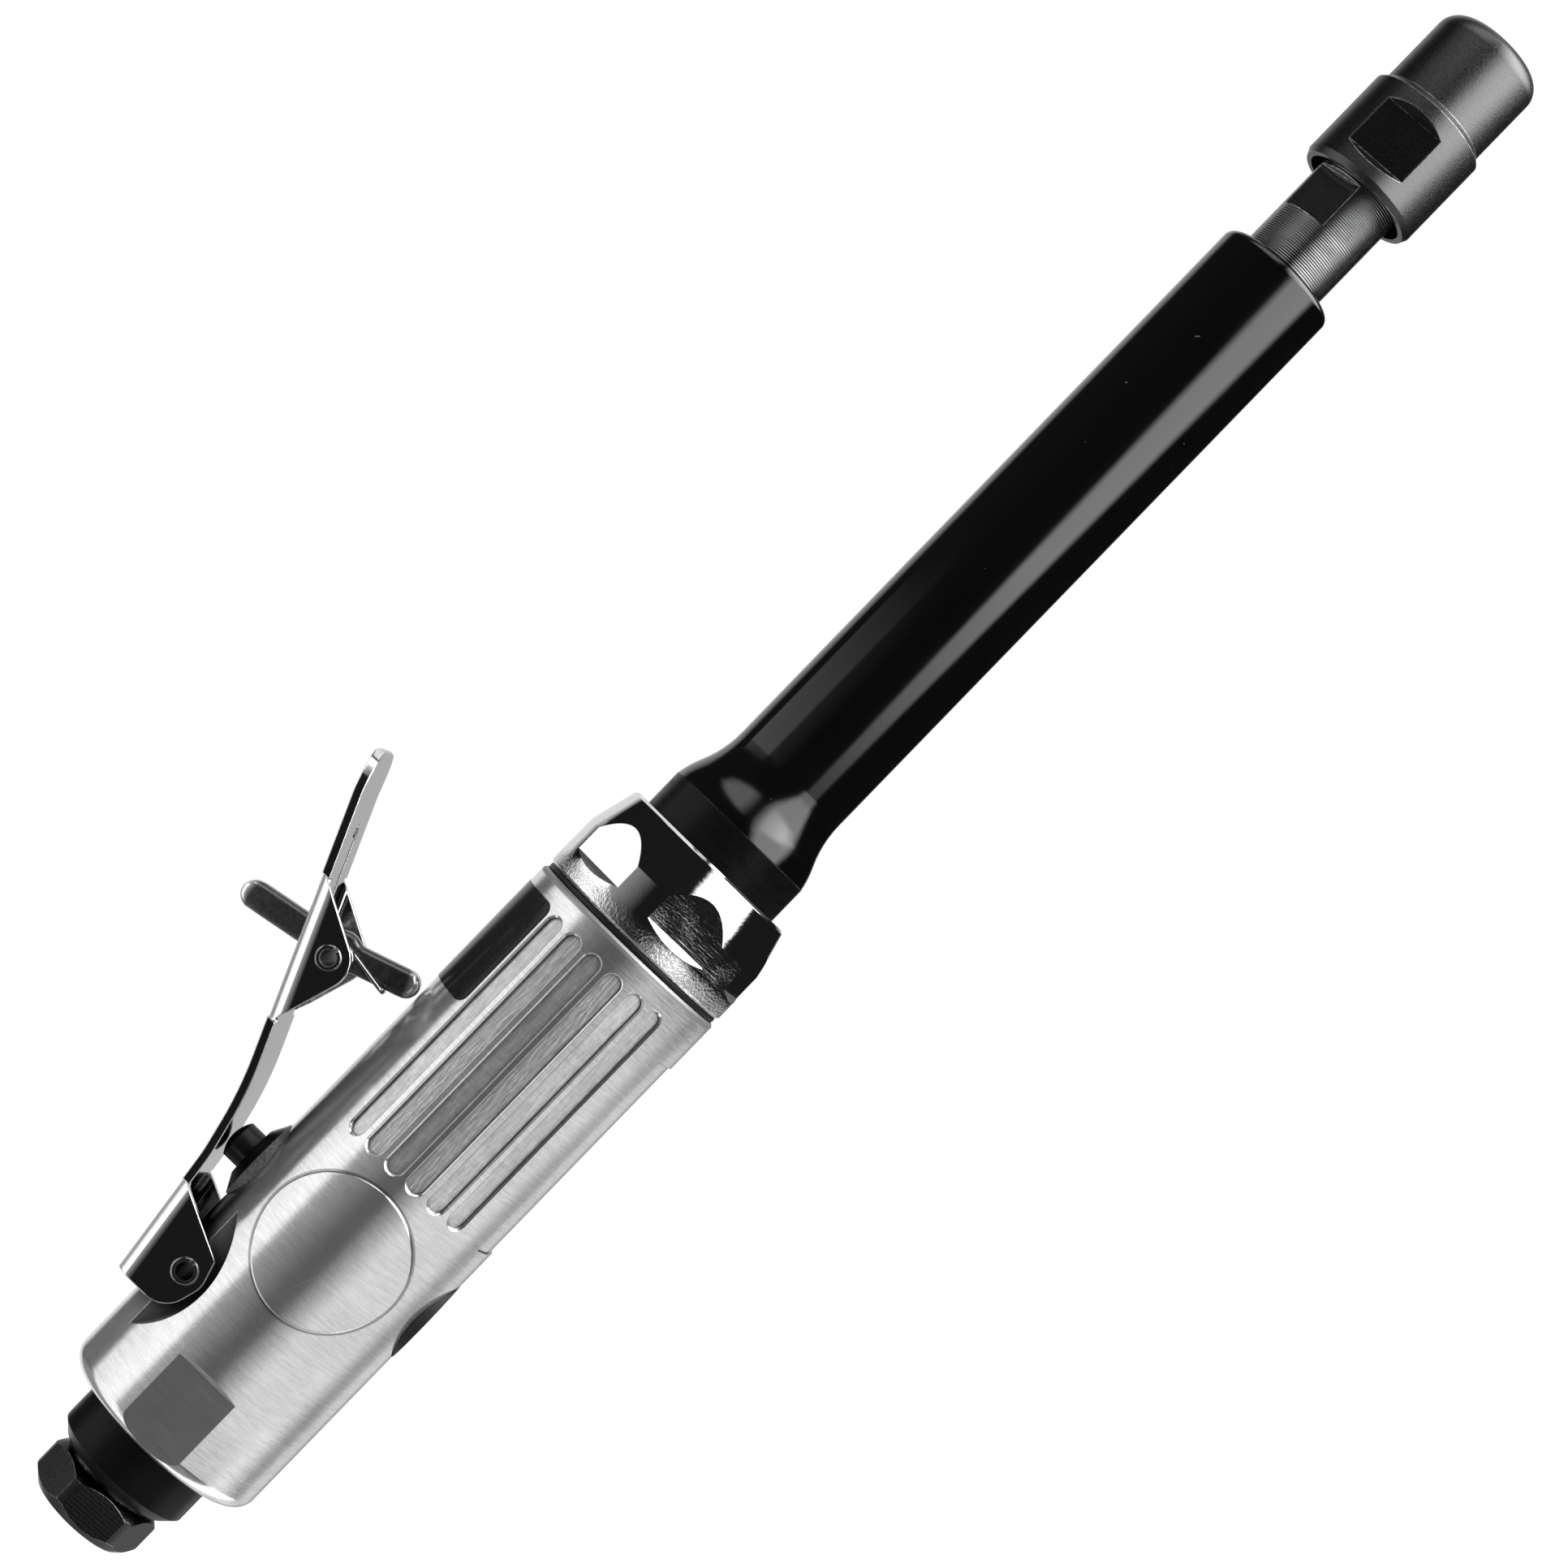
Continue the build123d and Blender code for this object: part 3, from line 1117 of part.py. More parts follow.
def lock_lever():
    """Lock bar: tab above the lever, foot below it, and a round lobe on the pin."""
    outline = lock_bar(LOCK_TAB_LENGTH, LOCK_TAB_WIDTH, LOCK_TAB_LEAN)
    outline += lock_bar(LOCK_FOOT_LENGTH, LOCK_FOOT_WIDTH, 180 + LOCK_FOOT_LEAN)
    outline += Pos(LOCK_ELBOW, 0) * Circle(LOCK_LOBE_R)
    half = LOCK_THICKNESS / 2
    body = side_plate(outline, half)
    edges = [edge for edge in body.edges() if abs(abs(edge.center().Y) - half) < NEAR]
    body = fillet(edges, LOCK_EDGE_ROUND) - crossbar(0, 0, FAR, LOCK_PIN_R + RUN)
    return Pos(X_LOCK, 0, LOCK_HEIGHT) * body


def lock_spring():
    """Torsion spring on the lock's pin: a hook behind the foot, a leg along it, coils and a short end."""
    coil_r = LOCK_PIN_R + PLAY + LOCK_WIRE_R
    frames = coil_frames(coil_r, LOCK_COIL_PITCH, LOCK_COILS, 0)
    first = frames[0][0]
    flat = Vector(0, 1, 0)
    frames[0] = (first, flat)
    last, last_way = frames[-1]
    leg_end = first - flat * LOCK_LEG_LENGTH
    hook = leg_end - Vector(0, LOCK_HOOK_BEND, LOCK_HOOK_BEND)
    edges = [Line(hook - Vector(0, 0, LOCK_THICKNESS / 2), hook)]
    edges.append(TangentArc(hook, leg_end, tangent=(0, 0, 1)))
    edges.append(Line(leg_end, first))
    edges += coil_edges(frames)
    edges.append(Line(last, last + last_way * LOCK_WIRE_END))
    print_gap("lock_spring", edges, LOCK_WIRE_R)
    wire = wire_solid(edges, LOCK_WIRE_R)
    side = LOCK_THICKNESS / 2 + PLAY + LOCK_WIRE_R
    return Pos(X_LOCK, -side, LOCK_HEIGHT) * Rot(0, LOCK_LEG_LEAN, 0) * Rot(90, 0, 0) * wire


nodes = {
    "collet_nut": collet_nut(),
    "collet": collet(),
    "spindle": spindle(),
    "grip_sleeve": grip_sleeve(),
    "extension_housing": extension_housing(),
    "extension_clip": extension_clip(),
    "outer_spacer": tube(
        X_REAR_BEARING,
        X_FRONT_BEARING - BEARING_WIDTH,
        SPINDLE_BEARING_R,
        SPINDLE_BEARING_R - SPACER_WALL,
    ),
    "inner_spacer": tube(
        X_REAR_BEARING,
        X_FRONT_BEARING - BEARING_WIDTH,
        SPINDLE_BEARING_BORE + SPACER_WALL,
        SPINDLE_BEARING_BORE,
    ),
    "drive_coupling": drive_coupling(),
    "clamp_nut": clamp_nut(),
    "seal_ring": seal_ring(),
    "front_end_plate": end_plate(X_PLATE_FRONT, SPIGOT_R, SPINDLE_BEARING_R, SPINDLE_BEARING_BORE, True),
    "motor_cylinder": motor_cylinder(),
    "cylinder_dowel": cylinder_dowel(),
    "rear_end_plate": rear_end_plate(),
    "rotor": rotor(),
    "rotor_vanes": rotor_vanes(),
    "motor_housing": motor_housing(),
    "exhaust_sleeve": exhaust_sleeve(),
    "exhaust_silencer": exhaust_silencer(),
    "inlet_bushing": inlet_bushing(),
    "inlet_o_ring": inlet_o_ring(),
    "inlet_screen": inlet_screen(),
    "valve_bushing": valve_bushing(),
    "valve_stem": valve_stem(),
    "valve_seal": valve_seal(),
    "valve_spring": valve_spring(),
    "regulator_knob": regulator_knob(),
    "regulator_clip": regulator_clip(),
    "regulator_o_ring": regulator_o_ring(),
    "throttle_lever": throttle_lever(),
    "lever_pin": rolled_pin(X_PIVOT, PIVOT_HEIGHT, LEVER_HALF_WIDTH + PIN_PROUD, PIVOT_PIN_R),
    "lock_lever": lock_lever(),
    "lock_pin": rolled_pin(X_LOCK, LOCK_HEIGHT, LEVER_HALF_WIDTH + PIN_PROUD, LOCK_PIN_R),
    "lock_spring": lock_spring(),
}
nodes.update(ball_bearing(X_FRONT_BEARING, SPINDLE_BEARING_BORE, SPINDLE_BEARING_R, "spindle_front"))
nodes.update(ball_bearing(X_REAR_BEARING, SPINDLE_BEARING_BORE, SPINDLE_BEARING_R, "spindle_rear"))
nodes.update(ball_bearing(X_ROTOR_BEARING, SPINDLE_BEARING_BORE, SPINDLE_BEARING_R, "rotor_front"))
nodes.update(
    ball_bearing(X_TAIL_BEARING + BEARING_WIDTH, REAR_BEARING_BORE, REAR_BEARING_R, "rotor_rear")
)

os.makedirs("parts", exist_ok=True)
for name, shape in nodes.items():
    export_step(shape, f"parts/{name}.step")
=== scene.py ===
import json
import math
import bmesh
import bpy
from mathutils import Matrix, Vector


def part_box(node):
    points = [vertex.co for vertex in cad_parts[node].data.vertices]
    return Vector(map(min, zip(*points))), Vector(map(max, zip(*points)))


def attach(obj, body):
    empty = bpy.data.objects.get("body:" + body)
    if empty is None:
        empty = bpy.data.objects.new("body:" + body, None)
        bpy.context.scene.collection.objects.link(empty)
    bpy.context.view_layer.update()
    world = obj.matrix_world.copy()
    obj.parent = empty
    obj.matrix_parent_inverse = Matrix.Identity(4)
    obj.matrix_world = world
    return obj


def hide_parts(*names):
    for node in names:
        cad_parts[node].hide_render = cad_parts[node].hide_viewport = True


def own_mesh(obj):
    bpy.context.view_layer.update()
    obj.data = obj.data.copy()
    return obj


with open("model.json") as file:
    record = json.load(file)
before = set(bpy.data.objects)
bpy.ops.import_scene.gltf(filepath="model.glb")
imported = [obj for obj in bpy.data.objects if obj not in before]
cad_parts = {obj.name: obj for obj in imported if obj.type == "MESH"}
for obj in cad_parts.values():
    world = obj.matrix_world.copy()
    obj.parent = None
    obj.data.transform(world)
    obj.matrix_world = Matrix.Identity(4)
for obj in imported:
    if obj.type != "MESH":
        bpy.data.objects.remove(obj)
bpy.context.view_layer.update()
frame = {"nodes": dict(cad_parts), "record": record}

# Sizes and places on the tool, the lens and its sensor are in millimetres. The camera's place and the studio
# are in metres. Angles are in degrees.
MM = 0.001
NODES = frame["nodes"]

# The photograph's camera: where it stands, how it is turned, its lens, and the point in its frame's middle
CAMERA_PLACE = Vector((-0.165, -0.5, 0.0))
CAMERA_ROLL = 45.88
CAMERA_LENS = 77.9
SENSOR = 36.0
FRAME_MIDDLE = Vector((-0.1505, 0.0, 0.00018))

# The studio round the tool, with levels as shares of white
WORLD_LIGHT = 0.45
FLOOR_DROP = 0.6
FLOOR_SIZE = 8.0
FLOOR_GREY = 0.9
FLOOR_GLOW = 1.25
FLOOR_GLOW_SHARE = 0.7
TENT_RADIUS = 0.55
TENT_LENGTH = 1.6
TENT_SIDES = 96
TENT_DARK = 0.01
LAMP_AIM = Vector((-0.15, 0.0, 0.0))
LAMPS = [
    # name, angle up from the camera's side, distance, (length, width), watts
    ("upper_softbox", 64, 0.9, (0.9, 0.25), 9),
    ("lower_softbox", -50, 0.8, (0.9, 0.2), 8),
    ("top_softbox", 100, 1.0, (0.9, 0.5), 12),
]

# Bright panels of the tent, which the tool mirrors. Each has a level and a soft share of its width. Its
# centre and half width, in degrees about the tool's axis from the camera's side upwards, run from a rear
# place to a front place along the axis, in millimetres. It fades in between two places behind, and out
# between two in front.
FROM_REAR = (-2000, -1900)
TO_FRONT = (1900, 2000)
ALL_ROUND = 400
TENT_PANELS = [
    # level, soft, (rear place, centre, half), (front place, centre, half), fade in, fade out
    (1.05, 0.08, (-300, 74, 24), (-195, 82, 26), FROM_REAR, (-140, -60)),  # strip on the housing's upper side
    (0.35, 0.90, (-300, 52, 22), (-195, 62, 22), FROM_REAR, (-140, -60)),  # glow below that strip
    (0.92, 0.35, (-400, -62, 43), (-250, -66, 46), (-440, -425), (-208, -198)),  # housing's lower side
    (2.2, 0.30, (-500, -100, 20), (-400, -100, 20), FROM_REAR, (-440, -425)),  # hexagon's lower flats
    (0.75, 0.35, (-270, 158, 10), (-190, 150, 17), FROM_REAR, TO_FRONT),  # upper edge, from behind
    (0.75, 0.50, (-500, -140, 18), (500, -140, 18), FROM_REAR, (-215, -195)),  # lower edge, from behind
    (0.60, 0.50, (-500, 180, 14), (500, 180, 14), FROM_REAR, TO_FRONT),  # straight behind
    (4.5, 0.24, (-123, -47, 11), (166, -47, 35), (-157, -32), (170, 240)),  # stripe along the sleeve
    (2.0, 0.30, (190, 52, 32), (300, 52, 32), (190, 250), TO_FRONT),  # upper patch on the sleeve's flare
    (5.0, 0.20, (166, -47, 35), (280, -62, 52), (170, 240), TO_FRONT),  # lower patch on the flare
    (5.0, 0.90, (0, -60, 26), (260, -60, 26), (200, 270), TO_FRONT),  # core of the lower patch
    (0.20, 0.50, (-900, 0, ALL_ROUND), (-500, 0, ALL_ROUND), FROM_REAR, (-620, -500)),  # rear end
    (0.08, 0.50, (200, 0, ALL_ROUND), (600, 0, ALL_ROUND), (190, 300), TO_FRONT),  # front end
]


def corners(node):
    """Lowest and highest corner of a node, in millimetres."""
    low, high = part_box(node)
    return [v / MM for v in low], [v / MM for v in high]


HOUSING_HIGH = corners("motor_housing")[1]
HOUSING_FRONT, HOUSING_R = HOUSING_HIGH[0], HOUSING_HIGH[2]
VALVE_LOW, VALVE_HIGH = corners("valve_bushing")
VALVE_X = (VALVE_LOW[0] + VALVE_HIGH[0]) / 2
FLANGE_R = (VALVE_HIGH[0] - VALVE_LOW[0]) / 2
CLAMP_REAR = corners("seal_ring")[1][0]
NUT_LOW, NUT_HIGH = corners("collet_nut")
NUT_REAR, NUT_R = NUT_LOW[0], NUT_HIGH[2]
SPINDLE_R = corners("spindle")[1][2]
PIN_LOW, PIN_HIGH = corners("lock_pin")
LOCK_X = (PIN_LOW[0] + PIN_HIGH[0]) / 2
LOCK_Z = (PIN_LOW[2] + PIN_HIGH[2]) / 2

# Housing: its round side pads, how far out its sides are, and the ends and floor depth of its hand grooves
PAD_R = 11.6
PAD_SIDE = 10.6
GROOVE_FRONT = -186.0
GROOVE_REAR = -231.0
GROOVE_FLOOR = 0.5

# Length of the clamp nut's collar, the stretch of the collet nut from its rear that holds its flats, the wall
# of a rolled pin, and the tone of the painted shade in each pin's bore
CLAMP_COLLAR = 4.25
NUT_FLATS = (2.0, 14.0)
PIN_WALL = 0.6
BORE_SHADE_TONES = {"lever_pin": 0.02, "lock_pin": 0.35}

# Plain panel on the housing's top: its ends along the axis, the angle where it starts on each side, the round
# of its corners, its thickness, how deep it sits, and its steps along the axis, round it and in a corner
PANEL_REAR = -206.0
PANEL_FRONT = -186.6
PANEL_ANGLE = 42.8
PANEL_ROUND = 1.6
PANEL_THICKNESS = 0.12
PANEL_SINK = 0.02
PANEL_STEPS = 8
PANEL_ROWS = 48
PANEL_CORNER_STEP = 15

# Lock lever: its elbow ahead of the pin, its lobe, the length, width and lean of its two bars, its thickness,
# round edge and hole, and the points of its outline and hole. A higher power makes sharper inner corners.
LOCK_ELBOW = 0.8
LOCK_LOBE_R = 3.3
LOCK_TAB = (17.3, 4.4, 100.0)
LOCK_FOOT = (12.9, 4.3, -72.0)
LOCK_THICKNESS = 4.2
LOCK_EDGE = 1.1
LOCK_EDGE_STEPS = 5
LOCK_HOLE_R = 1.9
LOCK_POINTS = 240
LOCK_HOLE_POINTS = 48
LOCK_POWER = 14

# Edges of the added pieces that turn by more than this stay sharp
SHARP_ANGLE = 40

# Most values of a noise lie in this range
NOISE_RANGE = (0.3, 0.7)


class Look:
    """A material's node tree with short ways to add nodes."""

    def __init__(self, name, **sockets):
        self.material = bpy.data.materials.new(name)
        self.material.use_nodes = True
        self.tree = self.material.node_tree
        self.shader = self.tree.nodes["Principled BSDF"]
        self.place = None
        for socket, value in sockets.items():
            self.set(socket, value)

    def node(self, kind, **settings):
        made = self.tree.nodes.new(kind)
        for key, value in settings.items():
            setattr(made, key, value)
        return made

    def feed(self, socket, value):
        """Links an output to a socket, or sets the socket's own value."""
        if isinstance(value, bpy.types.NodeSocket):
            self.tree.links.new(value, socket)
        else:
            socket.default_value = value

    def set(self, name, value):
        """Feeds a socket of the shader."""
        name = name.replace("_", " ").title().replace("Ior", "IOR")
        self.feed(self.shader.inputs[name], value)

    def show(self, output):
        """Makes an output the surface, in place of the shader."""
        self.feed(self.tree.nodes["Material Output"].inputs["Surface"], output)

    def position(self):
        """Place on the object at rest."""
        if self.place is None:
            coordinates = self.node("ShaderNodeTexCoord")
            scale = self.node("ShaderNodeVectorMath", operation="SCALE")
            self.feed(scale.inputs[0], coordinates.outputs["Object"])
            scale.inputs["Scale"].default_value = 1 / MM
            self.place = scale.outputs[0]
        return self.place

    def axes(self):
        """The place's x, y and z."""
        split = self.node("ShaderNodeSeparateXYZ")
        self.feed(split.inputs[0], self.position())
        return split.outputs

    def math(self, operation, *values):
        made = self.node("ShaderNodeMath", operation=operation)
        for socket, value in zip(made.inputs, values):
            self.feed(socket, value)
        return made.outputs[0]

    def times(self, *values):
        """Product of several values."""
        product = values[0]
        for value in values[1:]:
            product = self.math("MULTIPLY", product, value)
        return product

    def across(self, first, second):
        """Length of two sides at right angles."""
        squares = [self.math("POWER", side, 2.0) for side in (first, second)]
        return self.math("SQRT", self.math("ADD", *squares))

    def radius(self):
        """Distance from the tool's axis."""
        x, y, z = self.axes()
        return self.across(y, z)

    def stretched(self, stretch):
        """Place with each axis multiplied by a number of its own."""
        made = self.node("ShaderNodeVectorMath", operation="MULTIPLY")
        self.feed(made.inputs[0], self.position())
        made.inputs[1].default_value = stretch
        return made.outputs[0]

    def noise(self, per_mm, detail=3.0, rough=0.55, stretch=None):
        made = self.node("ShaderNodeTexNoise")
        self.feed(made.inputs["Vector"], self.stretched(stretch) if stretch else self.position())
        made.inputs["Scale"].default_value = per_mm
        made.inputs["Detail"].default_value = detail
        made.inputs["Roughness"].default_value = rough
        return made.outputs["Fac"]

    def cells(self, per_mm, place):
        """Distance from the nearest of many scattered points, in cells."""
        made = self.node("ShaderNodeTexVoronoi")
        self.feed(made.inputs["Vector"], place)
        made.inputs["Scale"].default_value = per_mm
        return made.outputs["Distance"]

    def spread(self, value, from_low, from_high, low, high):
        """Maps one range of a value to another, and holds it there."""
        made = self.node("ShaderNodeMapRange", clamp=True)
        for socket, number in zip(made.inputs, (value, from_low, from_high, low, high)):
            self.feed(socket, number)
        return made.outputs[0]

    def ramp(self, value, start, end):
        """0 before start and 1 past end, whichever of them is larger."""
        return self.spread(value, start, end, 0.0, 1.0)

    def vary(self, noise, low, high):
        """A noise between two values."""
        return self.spread(noise, *NOISE_RANGE, low, high)

    def blend(self, share, first, second):
        """The first value where share is 0, the second where it is 1."""
        made = self.node("ShaderNodeMix", data_type="FLOAT")
        for socket, value in zip(made.inputs, (share, None, first, second)):
            if value is not None:
                self.feed(socket, value)
        return made.outputs[0]

    def grey(self, value):
        """A number as a neutral colour."""
        made = self.node("ShaderNodeCombineColor")
        for socket in made.inputs:
            self.feed(socket, value)
        return made.outputs[0]

    def mottle(self, share, tone, darker):
        """Base colour that varies between a darker share of a tone and the tone."""
        mix = self.node("ShaderNodeMix", data_type="RGBA")
        self.feed(mix.inputs[0], share)
        mix.inputs[6].default_value = (*[darker * c for c in tone], 1)
        mix.inputs[7].default_value = (*tone, 1)
        self.set("base_color", mix.outputs[2])

    def glow(self, strength):
        made = self.node("ShaderNodeEmission")
        self.feed(made.inputs["Strength"], strength)
        return made.outputs[0]

    def bump(self, height, depth, strength=1.0):
        """Relief from a height between 0 and 1 that is depth millimetres tall."""
        made = self.node("ShaderNodeBump")
        made.inputs["Strength"].default_value = strength
        made.inputs["Distance"].default_value = depth * MM
        self.feed(made.inputs["Height"], height)
        links = self.shader.inputs["Normal"].links
        if links:
            self.feed(made.inputs["Normal"], links[0].from_socket)
        self.set("normal", made.outputs[0])

    def rounded(self, radius):
        """Normal with sharp edges rounded off."""
        made = self.node("ShaderNodeBevel", samples=6)
        made.inputs["Radius"].default_value = radius * MM
        return made.outputs[0]

    def soften(self, radius):
        """Rounds sharp edges in the shading."""
        self.set("normal", self.rounded(radius))

    def worn(self, radius):
        """1 along stretches of sharp edges, where the finish has worn off, and 0 elsewhere."""
        dot = self.node("ShaderNodeVectorMath", operation="DOT_PRODUCT")
        self.feed(dot.inputs[0], self.rounded(radius))
        self.feed(dot.inputs[1], self.node("ShaderNodeNewGeometry").outputs["Normal"])
        edge = self.ramp(dot.outputs["Value"], 0.995, 0.93)
        return self.times(edge, self.ramp(self.noise(1.2), 0.35, 0.6))

    def open_air(self, reach):
        """1 where a surface is open, falling to 0 where others shade it within reach."""
        made = self.node("ShaderNodeAmbientOcclusion", samples=8)
        made.inputs["Distance"].default_value = reach * MM
        return made.outputs["AO"]

    def ripple(self, pitch):
        """Even turned lines round the axis, between 0 and 1."""
        x, y, z = self.axes()
        wave = self.math("SINE", self.times(x, 2 * math.pi / pitch))
        return self.math("MULTIPLY_ADD", wave, 0.5, 0.5)

    def nicks(self, per_mm, turn, width, length):
        """Short straight marks, 1 on a mark and 0 elsewhere. More cells per millimetre sow more of them."""
        turned = self.node("ShaderNodeMapping", vector_type="TEXTURE")
        self.feed(turned.inputs["Vector"], self.position())
        turned.inputs["Rotation"].default_value = (0, math.radians(turn), 0)
        turned.inputs["Scale"].default_value = (length / width, 1, 1)
        apart = self.cells(per_mm, turned.outputs[0])
        return self.ramp(apart, 0.5 * width * per_mm, 0.3 * width * per_mm)


def satin_aluminium():
    """Tumbled cast aluminium, brushed round the axis, with cast groove floors, painted shade round its pads,
    and painted shade where nearby surfaces hem it in.
    """
    look = Look("satin_aluminium", metallic=0.90)
    look.soften(0.15)
    x, y, z = look.axes()
    cloud = look.noise(0.09, detail=4.0)
    grain = look.noise(4.5, rough=0.6)
    brushed = look.noise(1.0, rough=0.6, stretch=(2.6, 0.28, 0.28))
    cast = look.noise(2.2, detail=4.0, rough=0.65, stretch=(0.22, 1.0, 1.0))
    deep = look.ramp(look.radius(), HOUSING_R - GROOVE_FLOOR, HOUSING_R - GROOVE_FLOOR - 0.15)
    behind = look.ramp(x, GROOVE_REAR, GROOVE_REAR + 1)
    ahead = look.ramp(x, GROOVE_FRONT, GROOVE_FRONT - 1)
    floor = look.times(deep, behind, ahead)
    side = look.ramp(look.math("ABSOLUTE", y), PAD_SIDE, PAD_SIDE + 1)
    from_pad = look.across(look.math("SUBTRACT", x, VALVE_X), z)
    pad = look.times(look.ramp(from_pad, PAD_R - 0.1, PAD_R - 0.3), side)
    # Painted shade: a darker line round each pad, at the foot of its step.
    from_crease = look.math("ABSOLUTE", look.math("SUBTRACT", from_pad, PAD_R + 0.15))
    crease_shade = look.times(look.ramp(from_crease, 0.3, 0.1), side)
    rim = look.ramp(x, HOUSING_FRONT - 1.1, HOUSING_FRONT - 0.8)
    tone = look.times(
        look.vary(cloud, 0.62, 0.72),
        look.vary(brushed, 0.89, 1.07),
        look.vary(grain, 0.94, 1.06),
        look.blend(floor, 1.0, look.vary(cast, 0.72, 1.05)),
        look.blend(crease_shade, 1.0, 0.45),
        look.blend(rim, 1.0, 0.5),
        # Painted shade: darker where nearby surfaces hem the housing in, as in the recess under the lever.
        look.spread(look.open_air(8.0), 0.3, 0.8, 0.12, 1.0),
    )
    look.set("base_color", look.grey(tone))
    rough = look.spread(grain, 0.25, 0.75, 0.13, 0.21)
    look.set("roughness", look.blend(rim, look.blend(floor, rough, 0.35), 0.5))
    look.bump(grain, 0.008, 0.8)
    look.bump(look.times(brushed, look.blend(pad, 0.5, 0.7)), 0.022, 0.8)
    look.bump(look.times(cast, floor), 0.14, 0.9)
    steep = look.nicks(1.6, turn=65, width=0.12, length=8)
    slanted = look.nicks(1.5, turn=20, width=0.12, length=7)
    look.bump(look.math("MAXIMUM", steep, slanted), 0.004, 0.9)
    return look.material


def clamp_chrome():
    """Bright plate over milled flats, with a grainy collar behind them."""
    look = Look("clamp_chrome", metallic=1.0, base_color=(0.86, 0.86, 0.87, 1))
    look.soften(0.15)
    x, y, z = look.axes()
    milled = look.noise(1.0, rough=0.6, stretch=(2.4, 0.35, 0.35))
    grain = look.noise(2.4, rough=0.6)
    collar_front = CLAMP_REAR + CLAMP_COLLAR
    collar = look.ramp(x, collar_front - 0.6, collar_front - 2.4)
    patches = look.ramp(look.noise(0.16, detail=2.0), 0.45, 0.6)
    look.set("roughness", look.math("MULTIPLY_ADD", collar, 0.08, look.vary(grain, 0.03, 0.07)))
    look.bump(milled, 0.007)
    look.bump(look.times(grain, collar), 0.09)
    look.bump(look.times(grain, patches), 0.015, 0.7)
    return look.material


def lever_chrome():
    """Bright plate on pressed sheet, with a faint peel, dulled on top by the hand, and painted shade
    underneath.
    """
    look = Look("lever_chrome")
    look.soften(0.3)
    peel = look.noise(0.5)
    fine = look.noise(2.5)
    facing = look.node("ShaderNodeSeparateXYZ")
    look.feed(facing.inputs[0], look.node("ShaderNodeTexCoord").outputs["Normal"])
    top = look.ramp(facing.outputs["Z"], 0.5, 0.8)
    # Painted shade: faces that turn downwards get a darker colour.
    under = look.spread(facing.outputs["Z"], -0.8, -0.5, 0.22, 1.0)
    look.set("base_color", look.grey(look.times(look.blend(top, 0.86, 0.66), under)))
    look.set("metallic", look.blend(top, 1.0, 0.75))
    look.set("roughness", look.math("MULTIPLY_ADD", top, 0.12, look.vary(fine, 0.04, 0.10)))
    look.bump(peel, 0.012, 0.6)
    look.bump(fine, 0.004, 0.6)
    look.bump(look.nicks(0.5, turn=20, width=0.2, length=4), 0.01, 0.5)
    return look.material


def dark_chrome():
    """Dark plate dulled by tumbling; both ends of the bar are worn bright and lit further by painted
    highlights.
    """
    look = Look("dark_chrome", metallic=0.7)
    x, y, z = look.axes()
    grain = look.noise(1.6, detail=4.0)
    reach = look.across(look.math("SUBTRACT", x, LOCK_X), look.math("SUBTRACT", z, LOCK_Z))
    above = look.times(reach, look.ramp(z, LOCK_Z, LOCK_Z + 1))
    below = look.times(reach, look.ramp(z, LOCK_Z, LOCK_Z - 1))
    # Both ends of the bar get a brighter, glossier finish: partly wear, partly painted highlights.
    tab_end = look.ramp(above, LOCK_TAB[0] - 1.8, LOCK_TAB[0] - 0.8)
    foot_end = look.ramp(below, LOCK_FOOT[0] - 1.8, LOCK_FOOT[0] - 0.8)
    worn = look.math("MAXIMUM", tab_end, foot_end)
    look.set("base_color", look.grey(look.math("MULTIPLY_ADD", worn, 0.6, look.vary(grain, 0.06, 0.10))))
    look.set("roughness", look.blend(worn, look.vary(grain, 0.16, 0.26), 0.1))
    look.bump(grain, 0.02, 0.5)
    return look.material


def pin_steel(pin, bore_shade):
    """Rolled spring pin: bright rim, and a bore darkened by painted shade."""
    low, high = corners(pin)
    pin_x, pin_z = (low[0] + high[0]) / 2, (low[2] + high[2]) / 2
    bore_r = (high[2] - low[2]) / 2 - PIN_WALL
    look = Look(pin, metallic=1.0)
    look.soften(0.12)
    x, y, z = look.axes()
    grain = look.noise(3.0)
    reach = look.across(look.math("SUBTRACT", x, pin_x), look.math("SUBTRACT", z, pin_z))
    rim = look.ramp(reach, bore_r + 0.05, bore_r + 0.2)
    # Painted shade: the bore inside the rim is darkened to its shade tone.
    tone = look.times(look.vary(grain, 0.45, 0.6), look.blend(rim, bore_shade, 1.0))
    look.set("base_color", look.grey(tone))
    look.set("roughness", look.blend(rim, 0.5, look.vary(grain, 0.12, 0.22)))
    look.bump(grain, 0.01, 0.4)
    return look.material


def valve_black():
    """Blackened valve bushing with a worn grey rim."""
    look = Look("valve_black", specular_ior_level=0.3)
    look.soften(0.15)
    x, y, z = look.axes()
    grain = look.noise(2.2, detail=4.0)
    reach = look.across(look.math("SUBTRACT", x, VALVE_X), y)
    rim = look.ramp(reach, FLANGE_R - 0.16, FLANGE_R - 0.06)
    worn = look.times(rim, look.vary(grain, 0.08, 0.24))
    look.set("base_color", look.grey(look.math("ADD", worn, look.vary(grain, 0.006, 0.012))))
    look.set("roughness", look.vary(grain, 0.26, 0.40))
    look.bump(grain, 0.015, 0.5)
    return look.material


def gloss_sleeve():
    """Glossy black vinyl with a few specks of dust and light scratches."""
    look = Look("gloss_sleeve", specular_ior_level=0.5)
    look.soften(0.2)
    wave = look.noise(0.25, detail=2.0, stretch=(0.3, 1.0, 1.0))
    scratch = look.nicks(0.32, turn=50, width=0.25, length=1.3)
    dust = look.spread(look.cells(0.22, look.position()), 0.015, 0.04, 0.08, 0.002)
    look.set("base_color", look.grey(look.math("MULTIPLY_ADD", scratch, 0.07, dust)))
    look.set("roughness", look.vary(wave, 0.08, 0.12))
    look.bump(wave, 0.03, 0.3)
    return look.material


